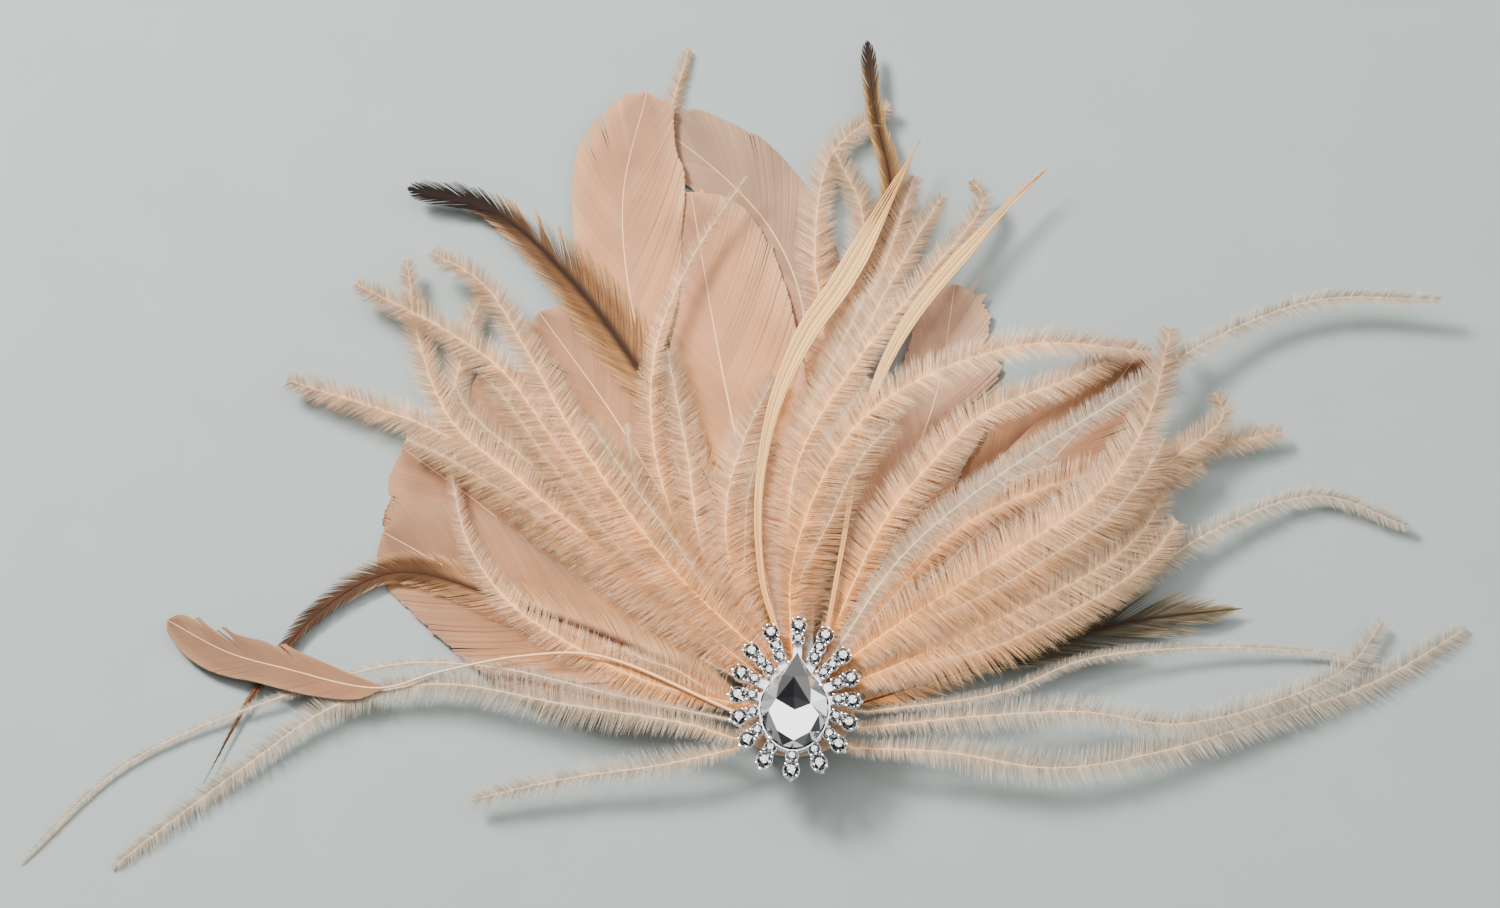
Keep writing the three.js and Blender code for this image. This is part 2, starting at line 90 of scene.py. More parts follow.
# The eye that the shafts are drawn from, and the picture's width where the brooch is
SIGHT_ANGLE = math.radians(72)
SIGHT_DISTANCE = 1400
SIGHT_ACROSS = -11.25
SIGHT_UP = 61.5
PICTURE_WIDTH = 375
SENSOR_WIDTH = 36
SEEN_UP = np.array([0, math.sin(SIGHT_ANGLE), math.cos(SIGHT_ANGLE)])
SEEN_BACK = np.array([0, -math.cos(SIGHT_ANGLE), math.sin(SIGHT_ANGLE)])
EYE = np.array([SIGHT_ACROSS, 0, BROOCH_PLANE]) + SIGHT_UP * SEEN_UP + SIGHT_DISTANCE * SEEN_BACK
LAY_ROUNDS = 6

# Each feather: its layer in the heap, how far its tip lifts, its half widths left and right of the shaft
# looking towards the tip or one half for both, where its vane starts or is widest, and the shaft as seen,
# from root to tip, in millimetres across and up from the middle of the brooch. A biot has strips.
# A split is where along the shaft, on which side and how wide the vane parts. A stray is where barbs reach
# past its edge, on which side, by what share and over what span. The tone darkens or lightens the whole
# feather, partly as its own colour and partly as painted shade where less light falls on it, and blunt is
# its half width at the tip. Fluff widens the flues at the root and at the tip. A row can also have a pitch,
# lean or length_jitter of its own in place of its kind's.
GOOSE = (
    dict(layer=3, lift=2, left=10, right=15, vane=0.5, tone=0.86,
         splits=((0.84, "left", 0.06), (0.8, "left", 0.05)), strays=((0.62, "right", 0.15, 0.05),),
         path=((-7, 11), (-24, 45), (-39, 90), (-43, 125), (-37, 152))),
    dict(layer=0, lift=0, left=12, right=10, vane=0.5, tone=0.62, finish="taupe",
         splits=((0.86, "right", 0.04), (0.74, "right", 0.03)),
         path=((1, 15), (2, 70), (2, 98), (-5, 116), (-17, 130), (-36, 145))),
    dict(layer=2, lift=1, left=10.5, right=19, vane=0.1, tone=0.88,
         splits=((0.62, "right", 0.03),),
         strays=((0.8, "left", 0.15), (0.86, "left", 0.25), (0.94, "left", 0.9, 0.03),
                 (0.95, "right", 0.2)),
         path=((-3, 12), (-15, 67), (-20, 92), (-26, 127))),
    dict(layer=1, lift=1, left=11, right=12, vane=0.1, length_jitter=0.05, tone=0.82, finish="taupe",
         strays=((0.8, "left", 0.2), (0.86, "left", 0.3), (0.84, "right", 0.3), (0.9, "right", 0.35)),
         splits=((0.72, "right", 0.1), (0.6, "right", 0.08)),
         path=((6, 12), (14, 25), (25, 50), (35, 75), (40, 104))),
    dict(layer=0, lift=0, left=21, right=16, vane=0.1, tone=0.72, splits=((0.55, "left", 0.03),),
         strays=((0.56, "left", 0.1, 0.07),),
         path=((-11, 4), (-58, 29), (-74, 45), (-98, 63))),
    dict(layer=1, lift=-0.5, left=15, right=17, vane=0.05, tone=0.54,
         splits=((0.45, "left", 0.03), (0.52, "left", 0.02)), strays=((0.86, "right", 0.25, 0.06),),
         path=((-13, 0), (-49, 12), (-76, 27), (-103, 42))),
    dict(layer=2, lift=1, left=9, right=11, vane=0.1, tone=0.68,
         splits=((0.66, "left", 0.12), (0.55, "left", 0.08)),
         path=((-10, 9), (-39, 35), (-59, 60), (-79, 82))),
    dict(layer=1, lift=1, left=11, right=13, vane=0.1, tone=0.7,
         splits=((0.72, "right", 0.05), (0.6, "left", 0.08), (0.78, "left", 0.12)),
         strays=((0.78, "right", 0.3), (0.84, "right", 0.45), (0.9, "left", 0.3)),
         path=((-7, 13), (-29, 45), (-46, 72), (-64, 97))),
    dict(layer=0, lift=0, left=11, right=10, vane=0.1, tone=0.66, splits=((0.65, "left", 0.06),),
         path=((11, 11), (34, 40), (54, 62), (74, 74))),
    dict(layer=2, lift=1, left=9, right=10, vane=0.1, tone=0.66, splits=((0.7, "right", 0.08),),
         path=((14, 9), (41, 37), (69, 65), (87, 88))),
    dict(layer=6, lift=0, left=4.5, right=4.5, vane=0.62, tone=0.45,
         splits=((0.84, "right", 0.16), (0.74, "right", 0.12), (0.9, "right", 0.12)),
         path=((-15, -3), (-49, 11), (-68, 11), (-89, 7), (-104, 3), (-128, 8), (-142, 12), (-157, 20))),
)
HACKLES = (
    dict(layer=4, lift=4, left=7, right=8, widest=0.6, finish="ginger", blunt=3.0,
         splits=((0.7, "right", 0.2), (0.75, "right", 0.2)),
         path=((-7, 16), (-22, 55), (-40, 84), (-55, 104), (-75, 122), (-97, 128))),
    dict(layer=4, lift=4, left=4.5, right=4.5, widest=0.6, finish="golden", blunt=2.0,
         path=((2, 16), (3, 44), (9, 74), (21, 110), (24, 127), (20, 147), (18, 165))),
    dict(layer=3, lift=0, left=7, right=7, widest=0.7, finish="smoky", lean=(30, 13), length_jitter=0.2,
         splits=((0.66, "left", 0.2), (0.74, "right", 0.2), (0.56, "right", 0.15)),
         path=((16, -1), (51, 10), (81, 19), (112, 23))),
    dict(layer=2, lift=0, left=6, right=7, widest=0.25, finish="peach",
         path=((-12, -2), (-43, 14), (-65, 22), (-99, 32), (-119, 22), (-135, 2), (-148, -21))),
    dict(layer=3, lift=0, left=5, right=5, widest=0.5, finish="peach",
         path=((11, 17), (20, 31), (27, 45), (39, 72))),
)
BIOTS = (
    dict(layer=10, lift=5, half=3, strips=9,
         path=((-4, 16), (-8, 30), (-9, 52), (-5, 74), (3, 92), (12, 105), (32, 141))),
    dict(layer=10, lift=5, half=2, strips=7,
         path=((8, 17), (12, 39), (18, 72), (28, 94), (48, 118), (65, 135))),
)
# Pale plumes: slim ones, and brushes whose flues stand square to the shaft
SLIM = dict(fluff=(1.5, 1.2), finish="pale_flue")
BRUSH = dict(fluff=(1.6, 1.7), lean=(90, 66), pitch=0.12, finish="pale_flue")
OSTRICH_LEFT = (
    dict(layer=8, lift=4, half=4.6,
         path=((-10, 11), (-36, 35), (-59, 63), (-72, 81), (-85, 91), (-110, 104))),
    dict(layer=7, lift=2.5, half=4.2,
         path=((-11, 8), (-39, 30), (-69, 55), (-86, 70), (-94, 90), (-97, 110))),
    dict(layer=5, lift=1, half=4.6,
         path=((-12, 6), (-39, 27), (-69, 51), (-85, 69), (-83, 87), (-78, 103))),
    dict(layer=6, lift=2.5, half=5, path=((-11, 9), (-36, 31), (-64, 52), (-89, 67), (-127, 80))),
    dict(layer=9, lift=5, half=4.6,
         path=((-9, 12), (-29, 31), (-55, 66), (-68, 89), (-78, 104), (-91, 112))),
    dict(layer=4, lift=0, half=4.6, fluff=(1.7, 0.5), pitch=0.11,
         path=((-15, -1), (-38, 5), (-58, 15), (-72, 25), (-82, 40), (-87, 64))),
    dict(BRUSH, layer=5, lift=-1.5, half=3.8, fluff=(1.9, 1.2),
         path=((-14, -10), (-27, -6), (-58, -1), (-89, 4), (-114, -1), (-138, -17), (-171, -42))),
    dict(SLIM, layer=4, lift=-1.3, half=1.6, pitch=0.16,
         path=((-16, -5), (-44, 1), (-74, 8), (-99, 9), (-125, 2), (-167, -16), (-194, -41))),
    dict(SLIM, layer=3, lift=0, half=2.6, fluff=(2.0, 2.0), pitch=0.12, length_jitter=0.35,
         path=((-14, -12), (-32, -16), (-59, -20), (-81, -25))),
)
OSTRICH_MIDDLE = (
    dict(layer=7, lift=5, half=4.4, fluff=(1.5, 0.6), pitch=0.16,
         path=((-10, 12), (-25, 33), (-35, 62), (-35, 87), (-26, 110), (-12, 131))),
    dict(layer=6, lift=1, half=4.4, path=((-7, 13), (-22, 34), (-27, 62), (-32, 88))),
    dict(layer=5, lift=0, half=5, path=((-10, 14), (-16, 32), (-17, 50), (-12, 67), (-5, 81))),
    dict(layer=1, lift=0.5, half=3,
         path=((-2, 15), (-13, 45), (-24, 82), (-32, 116), (-33, 138), (-26.5, 163))),
)
OSTRICH_RIGHT = (
    dict(layer=5, lift=2, half=4.6, path=((0, 15), (4, 62), (7, 92), (5, 112), (9, 136), (24, 149))),
    dict(layer=6, lift=2, half=4.6, path=((1, 15), (6, 62), (14, 100), (17, 121), (10, 137))),
    dict(layer=8, lift=4, half=4.4, path=((-1, 15), (0, 50), (10, 76), (27, 110), (37, 126))),
    dict(layer=7, lift=3, half=4.6, path=((0, 15), (11, 80), (21, 105), (30, 131))),
    dict(layer=9, lift=3, half=4, path=((-1, 15), (0, 57), (15, 84), (34, 107), (47, 125), (44, 130))),
    dict(layer=11, lift=2, half=4.6,
         path=((-1, 16), (-1, 31), (4, 49), (14, 67), (29, 79), (59, 89), (89, 87))),
    dict(layer=7, lift=2, half=4.6, path=((8, 14), (22, 44), (33, 58), (48, 72), (68, 80), (86, 89))),
    dict(SLIM, layer=13, lift=4, half=3.6, pitch=0.1,
         path=((10, 12), (26, 35), (44, 51), (85, 78), (106, 91), (131, 100), (162, 100))),
    dict(layer=12, lift=4, half=5.8, path=((12, 9), (26, 19), (51, 35), (76, 52), (88, 70), (94, 93))),
    dict(layer=4, lift=2, half=4.6, path=((12, 11), (24, 25), (40, 42), (57, 51), (87, 60), (122, 67))),
    dict(layer=8, lift=4, half=4.8, path=((14, 8), (41, 25), (71, 45), (94, 60), (107, 71), (105, 77))),
    dict(layer=6, lift=2, half=5, path=((13, 6), (29, 14), (47, 25), (63, 40), (84, 51), (102, 59))),
    dict(layer=9, lift=0, half=5, path=((14, 4), (26, 9), (51, 20), (79, 35), (89, 45), (92, 52))),
    dict(SLIM, layer=5, lift=1, half=3.6, pitch=0.1,
         path=((15, 2), (31, 6), (51, 14), (77, 25), (106, 43), (131, 51), (154, 43))),
    dict(SLIM, layer=4, lift=-1, half=1.8, pitch=0.16,
         path=((18, -3), (52, 2), (72, 10), (99, 13), (128, 12), (148, 8))),
    dict(BRUSH, layer=6, lift=0, half=3.6,
         path=((17, -7), (47, -4), (72, -3), (96, -6), (124, 1), (139, 9), (147, 20))),
    dict(BRUSH, layer=5, lift=-1.2, half=4,
         path=((14, -12), (37, -13), (65, -17), (91, -13), (121, -4), (146, 5), (168, 18))),
)

# Families of feathers: their pieces, nodes and rows, their kind, and their shafts
FAMILIES = (
    ("goose_feather", "goose", GOOSE, "goose", "goose_shaft"),
    ("hackle_feather", "hackle", HACKLES, "hackle", "dark_shaft"),
    ("ostrich_plume_left", "ostrich_left", OSTRICH_LEFT, "ostrich", "ostrich_shaft"),
    ("ostrich_plume_middle", "ostrich_middle", OSTRICH_MIDDLE, "ostrich", "ostrich_shaft"),
    ("ostrich_plume_right", "ostrich_right", OSTRICH_RIGHT, "ostrich", "ostrich_shaft"),
)

# Downy roots: how far the down reaches from a feather's shaft, and where along it the down ends
DOWN = {
    "goose_1": (7, 0.55), "goose_2": (8, 0.55), "goose_4": (8, 0.5), "hackle_1": (7, 0.5),
    "hackle_2": (10, 0.6), "hackle_5": (10, 1.0), "hackle_3": (5, 0.35),
}
# The down is darkened by this factor: painted shade in the gaps among the roots
DOWN_PAINTED_SHADE = 0.76

# Second flues on the plumes that fill the fan: how far to the left of the plume they lie, and how much of
# its length they have. They drift aside over the first UNDER_DRIFT of it, and lie UNDER_DROP layers lower.
UNDER_FLUES = {
    "left_1": (4, 0.75), "left_2": (-5, 0.8), "left_4": (5, 0.8), "left_5": (-5, 0.6), "left_6": (-5, 0.35),
    "middle_1": (6, 0.5), "middle_3": (-5, 0.9), "right_3": (4, 0.75), "right_4": (-4, 0.45),
    "right_5": (-5, 0.6), "right_6": (-6, 0.5), "right_9": (-6, 0.8), "right_10": (5, 0.6),
    "right_11": (-5, 0.75), "right_12": (-5, 0.85), "right_13": (-6, 0.95),
}
UNDER_STEP = 8
UNDER_DRIFT = 0.5
UNDER_DROP = 0.4
# The second flues are darkened by this factor: painted shade in the recesses under the upper plumes
UNDER_PAINTED_SHADE = 0.82

# Seeds: the step from family to family, what second flues add to it, and those of the other pieces
FAMILY_SEED = 100
UNDER_SEED = 50
DOWN_SEED = 500
BIOT_SEED = 40
STONE_SEED = 7
FELT_SEED = 3

# How each kind of feather widens and narrows along its shaft
TIP_HALF = 0.3
VANE_ROUNDNESS = 2.4
VANE_FULLNESS = 1.35
HACKLE_TAPER = 1.4
HACKLE_BLUNTNESS = 40
BIOT_ROOT_SHARE = 0.4
BIOT_TIP_LENGTH = 0.25
FLUE_ROOT_SHARE = 0.42
FLUE_GROWTH = 2.8
FLUE_TAPER = 0.25
FLUE_ROUNDNESS = 30

# How barbs stand on each kind of shaft. Lengths in millimetres, leans in degrees from the shaft, the rest
# as shares of a barb's length: how far it bends to the tip, droops, sways, rises and ruffles, alone or
# with its clump. Gather is how far the barbs of a clump close up at their ends.
BARBS = {
    "goose": dict(pitch=0.5, half_width=0.46, half_thickness=0.05, tip_share=0.75, segments=4,
                  lean=(44, 28), bend=0.2, droop=0.0, sway=0.004, clump=0.012, clump_length=5,
                  gather=0.0, rise=0.0, ruffle=0.006, length_jitter=0.006, fluff=(1.0, 1.0),
                  shaft=(0.5, 0.1)),
    "hackle": dict(pitch=0.26, half_width=0.14, half_thickness=0.05, tip_share=0.3, segments=2,
                   lean=(42, 20), bend=0.12, droop=0.03, sway=0.025, clump=0.04, clump_length=2.2,
                   gather=0.3, rise=0.0, ruffle=0.04, length_jitter=0.1, fluff=(1.0, 1.0),
                   shaft=(0.32, 0.08)),
    "ostrich": dict(pitch=0.085, half_width=0.085, half_thickness=0.06, tip_share=0.0, segments=1,
                    lean=(84, 56), bend=0.14, droop=0.05, sway=0.07, clump=0.09, clump_length=0.7,
                    gather=0.4, rise=0.05, ruffle=0.25, length_jitter=0.2, fluff=(1.75, 1.3),
                    shaft=(0.13, 0.05)),
    "down": dict(pitch=0.25, half_width=0.16, half_thickness=0.1, tip_share=0.0, segments=3, lean=(62, 50),
                 bend=0.3, droop=0.05, sway=0.2, clump=0.3, clump_length=2.0, gather=0.6, rise=0.04,
                 ruffle=0.2, length_jitter=0.3, fluff=(1.0, 1.0), shaft=(0.05, 0.05)),
}
SHAFT_STEP = 1.0
QUILL_STEPS = 8
SPLINE_STEPS = 40
BISECTIONS = 30
LONGEST_BARB = 60
NARROWEST_VANE = 1
EASE_POWER = 1.5
SPLIT_SPAN = 0.015
STRAY_SPAN = 0.006


class Wire:
    """A socket of a node tree: sums and products of wires add Math nodes, and make() adds any other."""

    def __init__(self, tree, socket=None):
        self.tree = tree
        self.socket = socket

    def make(self, kind, settings=None, sockets=None, out=0):
        node = self.tree.nodes.new(kind)
        for name, value in (settings or {}).items():
            if name == "stops":
                ramp = node.color_ramp.elements
                ramp.remove(ramp[1])
                for index, (place, *colour) in enumerate(value):
                    stop = ramp.new(place) if index else ramp[0]
                    stop.position = place
                    stop.color = rgb(colour)
            else:
                setattr(node, name, value)
        for key, value in (sockets or {}).items():
            if isinstance(value, Wire):
                self.tree.links.new(value.socket, node.inputs[key])
            else:
                node.inputs[key].default_value = value
        return Wire(self.tree, node.outputs[out] if node.outputs else None)

    def __getitem__(self, name):
        return Wire(self.tree, self.socket.node.outputs[name])

    def math(self, operation, first, second):
        return self.make("ShaderNodeMath", {"operation": operation}, {0: first, 1: second})

    def __add__(self, other):
        return self.math("ADD", self, other)

    def __radd__(self, other):
        return self.math("ADD", other, self)

    def __sub__(self, other):
        return self.math("SUBTRACT", self, other)

    def __rsub__(self, other):
        return self.math("SUBTRACT", other, self)

    def __mul__(self, other):
        return self.math("MULTIPLY", self, other)

    def __rmul__(self, other):
        return self.math("MULTIPLY", other, self)

    def __truediv__(self, other):
        return self.math("DIVIDE", self, other)

    def __rtruediv__(self, other):
        return self.math("DIVIDE", other, self)

    def vector(self, operation, other):
        key = "Scale" if operation == "SCALE" else 1
        return self.make("ShaderNodeVectorMath", {"operation": operation}, {0: self, key: other})

    def span(self, start, end, low=0.0, high=1.0):
        sockets = {"Value": self, "From Min": start, "From Max": end, "To Min": low, "To Max": high}
        return self.make("ShaderNodeMapRange", {"interpolation_type": "SMOOTHSTEP"}, sockets)

    def blend(self, first, second):
        return self.make("ShaderNodeMix", {"data_type": "RGBA"}, {0: self, 6: first, 7: second}, out=2)


# Finishes
def rgb(seen):
    """A colour as it is seen, from 0 to 255, as the light that it sends back."""
    shares = [channel / 255 for channel in seen]
    light = [s / 12.92 if s <= 0.04045 else ((s + 0.055) / 1.055) ** 2.4 for s in shares]
    return (*light, 1.0)


def new_finish(name):
    finish = bpy.data.materials.new(name)
    finish.use_nodes = True
    finish.node_tree.nodes.clear()
    return finish, Wire(finish.node_tree)


def close_finish(pen, sockets, through=0.0, stops=()):
    """Ends a finish with its surface, which lets a share of light through, in the mean colour of stops."""
    surface = pen.make("ShaderNodeBsdfPrincipled", {}, sockets)
    if through:
        mean = np.mean([rgb(colour) for _, *colour in stops], axis=0)
        glow = pen.make("ShaderNodeBsdfTranslucent", {}, {"Color": mean.tolist()})
        surface = pen.make("ShaderNodeMixShader", {}, {0: through, 1: surface, 2: glow})
    pen.make("ShaderNodeOutputMaterial", {}, {"Surface": surface})


def reading(pen, name):
    return pen.make("ShaderNodeAttribute", {"attribute_name": name}, out="Fac")


def noise(pen, scale, detail=2.0, roughness=0.5, stretch=(1, 1, 1)):
    place = pen.make("ShaderNodeTexCoord", out="Object")
    place = pen.make("ShaderNodeMapping", {}, {"Vector": place, "Scale": stretch})
    sockets = {"Vector": place, "Scale": scale, "Detail": detail, "Roughness": roughness}
    return pen.make("ShaderNodeTexNoise", {}, sockets)


def bumps(height, strength, distance):
    return height.make("ShaderNodeBump", {}, {"Strength": strength, "Distance": distance, "Height": height})


def shaded(colour, light):
    grey = light.make("ShaderNodeCombineColor", {}, {0: light, 1: light, 2: light})
    return light.make("ShaderNodeMix", {"data_type": "RGBA", "blend_type": "MULTIPLY"},
                      {0: 1.0, 6: colour, 7: grey}, out=2)


# A barb's rim fades out over RIM_FADE of the shaft, or not at all when it stops past the tip. Its shade is
# its own and that of fine patches, by their weights.
PAST_TIP = 2
RIM_FADE = 0.12
CORE_REACH = 0.32
OWN_WEIGHT = 1.4
FINE_WEIGHT = 0.6
FINE_PATCHES = dict(scale=160.0, detail=3.0)
BROAD_PATCHES = dict(scale=55.0, detail=1.0)


def plumage(name, stops, rim, rim_start, grain, through, rim_stop=PAST_TIP, mottle=0.0, core=None):
    """A barb's finish: colours along the shaft, a rim colour at the barb's end that fades out along the
    shaft, a core colour beside the shaft, a shade for each barb, soft patches, and a darkening of the
    whole feather that is partly its own colour and partly painted shade."""
    finish, pen = new_finish(name)
    along = reading(pen, "along")
    edge = reading(pen, "edge")
    shade = reading(pen, "grain")
    base = pen.make("ShaderNodeValToRGB", {"stops": stops}, {"Fac": along})
    rim_share = edge.span(rim_start, 1.0) * along.span(rim_stop - RIM_FADE, rim_stop, 1.0, 0.0)
    base = rim_share.blend(base, rgb(rim))
    if core:
        base = edge.span(0.0, CORE_REACH, 1.0, 0.0).blend(base, rgb(core))
    fine = shade * OWN_WEIGHT + noise(pen, **FINE_PATCHES) * FINE_WEIGHT
    # The feather's darkening is partly its own colour and partly painted shade where less light falls on it
    light = reading(pen, "tone") * (1 - grain + fine * grain)
    if mottle:
        light = light * (1 - mottle + noise(pen, **BROAD_PATCHES) * (2 * mottle))
    close_finish(pen, {
        "Base Color": shaded(base, light), "Roughness": 0.6 + 0.15 * shade, "Specular IOR Level": 0.25,
        "Sheen Weight": 0.06, "Sheen Roughness": 0.4}, through, stops)
    return finish


STREAK_SHARE = 0.2


def horn(name, root, tip, dullness=0.32, gloss=0.5):
    """A shaft's finish: smooth keratin whose colour changes towards the tip."""
    finish, pen = new_finish(name)
    streak = noise(pen, scale=500.0)
    share = reading(pen, "along") * (1 - STREAK_SHARE) + streak * STREAK_SHARE
    close_finish(pen, {
        "Base Color": share.blend(rgb(root), rgb(tip)), "Roughness": dullness + 0.2 * streak,
        "Specular IOR Level": gloss})
    return finish


STRAW_STOPS = ((0, 250, 184, 106), (0.3, 253, 205, 131), (0.8, 247, 202, 132), (1, 216, 156, 86))
STRAW_EDGE = (206, 150, 88)
STRAW_DARKEST = 0.76
STRAW_SHADES = 0.36


def straw(name):
    """A biot's finish: cream with lengthwise streaks and an orange root and edges."""
    finish, pen = new_finish(name)
    base = pen.make("ShaderNodeValToRGB", {"stops": STRAW_STOPS}, {"Fac": reading(pen, "along")})
    rim = reading(pen, "edge").span(start=0.65, end=1.0, low=0.0, high=0.55)
    colour = shaded(rim.blend(base, rgb(STRAW_EDGE)), STRAW_DARKEST + STRAW_SHADES * reading(pen, "grain"))
    streak = noise(pen, scale=900.0)
    close_finish(pen, {
        "Base Color": colour, "Roughness": 0.38 + 0.2 * streak, "Sheen Weight": 0.15,
        "Normal": bumps(streak, strength=0.25, distance=0.0001)}, through=0.2, stops=STRAW_STOPS)
    return finish


PATCH_SHARE = 0.4


def grained(name, dark, light, grain, roughness, spread=0.0, patch=None, bump=None, more=None):
    """A finish whose colour, roughness and bumps follow one grain, its colour also broader patches."""
    finish, pen = new_finish(name)
    streak = noise(pen, **grain)
    share = streak
    if patch:
        share = streak * (1 - PATCH_SHARE) + noise(pen, **patch) * PATCH_SHARE
    sockets = {"Base Color": share.blend(rgb(dark), rgb(light)), "Roughness": roughness, **(more or {})}
    if spread:
        sockets["Roughness"] = roughness + spread * streak
    if bump:
        sockets["Normal"] = bumps(streak, **bump)
    close_finish(pen, sockets)
    return finish


# The darkest and the brightest painted reflection that the crystal's facets carry
DARKEST_PAINTED_REFLECTION = (14, 15, 18)
BRIGHTEST_PAINTED_REFLECTION = (252, 253, 255)


def crystal_with_painted_reflections(name):
    """Cut glass whose facets carry painted reflections: each mirrors its own share of light, standing in
    for foil and inner reflections.
    """
    finish, pen = new_finish(name)
    haze = noise(pen, scale=260.0, detail=1.0)
    share = reading(pen, "facet") * (0.9 + 0.2 * haze)
    close_finish(pen, {
        "Base Color": share.blend(rgb(DARKEST_PAINTED_REFLECTION), rgb(BRIGHTEST_PAINTED_REFLECTION)),
        "Metallic": 1 - reading(pen, "milk"), "Roughness": 0.06 + 0.05 * haze})
    return finish


# Colours are as seen, from 0 to 255, and a stop's place along the shaft stands before its colour
FINISH = {
    "goose": plumage(
        "goose_vane", ((0, 230, 160, 98), (0.35, 216, 150, 98), (0.65, 200, 143, 102), (1, 174, 128, 96)),
        rim=(206, 156, 116), rim_start=0.6, grain=0.24, through=0.18, mottle=0.35),
    "taupe": plumage(
        "taupe_vane", ((0, 220, 160, 108), (0.6, 196, 152, 120), (1, 182, 144, 118)),
        rim=(200, 160, 128), rim_start=0.6, grain=0.24, through=0.18, mottle=0.35),
    # The ostrich flue's rim at the barb ends is partly their own paler colour and partly a painted
    # highlight
    "ostrich": plumage(
        "ostrich_flue",
        ((0, 248, 184, 106), (0.3, 254, 204, 140), (0.6, 250, 211, 164), (1, 192, 170, 143)),
        rim=(255, 238, 206), rim_start=0.1, rim_stop=0.85, grain=0.55, through=0.3),
    "pale_flue": plumage(
        "pale_flue", ((0, 236, 202, 160), (0.25, 206, 188, 164), (1, 186, 174, 156)),
        rim=(224, 214, 198), rim_start=0.1, grain=0.55, through=0.3),
    # The second flues' colours: deeper and warmer than the ostrich flue's over most of the shaft, as
    # painted shade in the recesses between the plumes, paler at the tips
    "under_flue": plumage(
        "under_flue", ((0, 244, 172, 96), (0.35, 242, 187, 127), (0.7, 237, 201, 154), (1, 226, 202, 168)),
        rim=(246, 219, 176), rim_start=0.2, grain=0.5, through=0.3),
    "down": plumage(
        "peach_down", ((0, 255, 194, 119), (1, 250, 198, 134)),
        rim=(254, 214, 153), rim_start=0.3, grain=0.4, through=0.3),
    "ginger": plumage(
        "ginger_hackle", ((0, 228, 176, 128), (0.4, 192, 140, 92), (0.55, 138, 96, 60), (0.75, 100, 68, 42),
                          (0.84, 34, 22, 15), (1, 24, 16, 12)),
        rim=(206, 158, 106), rim_start=0.45, rim_stop=0.86, grain=0.45, through=0.2, core=(40, 26, 18)),
    "golden": plumage(
        "golden_hackle", ((0, 230, 174, 120), (0.5, 214, 154, 100), (0.65, 140, 98, 52), (0.85, 84, 56, 30),
                          (0.95, 46, 30, 20), (1, 38, 24, 17)),
        rim=(196, 150, 84), rim_start=0.3, rim_stop=0.96, grain=0.4, through=0.25, core=(62, 40, 24)),
    "smoky": plumage(
        "smoky_hackle", ((0, 140, 106, 76), (0.35, 60, 53, 40), (0.7, 78, 69, 52), (1, 116, 101, 74)),
        rim=(158, 141, 110), rim_start=0.55, grain=0.6, through=0.2, core=(38, 32, 25)),
    "peach": plumage(
        "peach_hackle", ((0, 232, 180, 132), (0.38, 206, 152, 106), (0.5, 98, 66, 40), (0.7, 72, 47, 29),
                         (0.88, 112, 76, 43), (1, 40, 26, 18)),
        rim=(204, 154, 108), rim_start=0.55, rim_stop=0.66, grain=0.4, through=0.25, core=(76, 49, 31)),
    "goose_shaft": horn("goose_shaft", (246, 196, 140), (216, 172, 132)),
    "ostrich_shaft": horn("ostrich_shaft", (252, 206, 146), (236, 216, 186)),
    "dark_shaft": horn("dark_shaft", (90, 54, 32), (14, 9, 7), dullness=0.6, gloss=0.1),
    "straw": straw("biot_straw"),
    "crystal": crystal_with_painted_reflections("crystal_with_painted_reflections"),
    "silver": grained(
        "bright_silver", (214, 216, 220), (242, 243, 246), grain=dict(scale=700.0, detail=3.0),
        roughness=0.16, spread=0.2, more={"Metallic": 0.8}),
    "steel": grained(
        "brushed_steel", (176, 178, 182), (214, 216, 220),
        grain=dict(scale=60.0, detail=4.0, stretch=(60, 1, 60)), roughness=0.25, spread=0.25,
        bump=dict(strength=0.15, distance=0.0001), more={"Metallic": 1.0}),
    "felt": grained(
        "felt", (176, 132, 98), (222, 186, 152), grain=dict(scale=2600.0, detail=4.0, roughness=0.7),
        roughness=0.95, patch=dict(scale=180.0), bump=dict(strength=0.8, distance=0.0003),
        more={"Sheen Weight": 0.4}),
    "floor": grained(
        "pale_floor", (138, 147, 145), (144, 153, 151), grain=dict(scale=40.0, detail=3.0), roughness=0.8,
        more={"Specular IOR Level": 0.2}),
}


# Where the feathers lie
def smooth(value, start, end):
    share = np.clip((value - start) / (end - start), 0, 1)
    return share * share * (3 - 2 * share)


def layer_step(radius):
    opened = ROOT_STEP + (OPEN_STEP - ROOT_STEP) * smooth(radius, ROOT_RADIUS, OPEN_RADIUS)
    return opened + (END_STEP - opened) * smooth(radius, OPEN_RADIUS, END_RADIUS)


def layer_height(row, x, y, along):
    radius = np.hypot(x, y)
    bed = BED_ROOT + (BED_FLOOR - BED_ROOT) * smooth(radius, ROOT_RADIUS, BED_RADIUS)
    return bed + row["layer"] * layer_step(radius) + row["lift"] * along**LIFT_POWER


def unit(vectors):
    return vectors / np.linalg.norm(vectors, axis=1, keepdims=True)


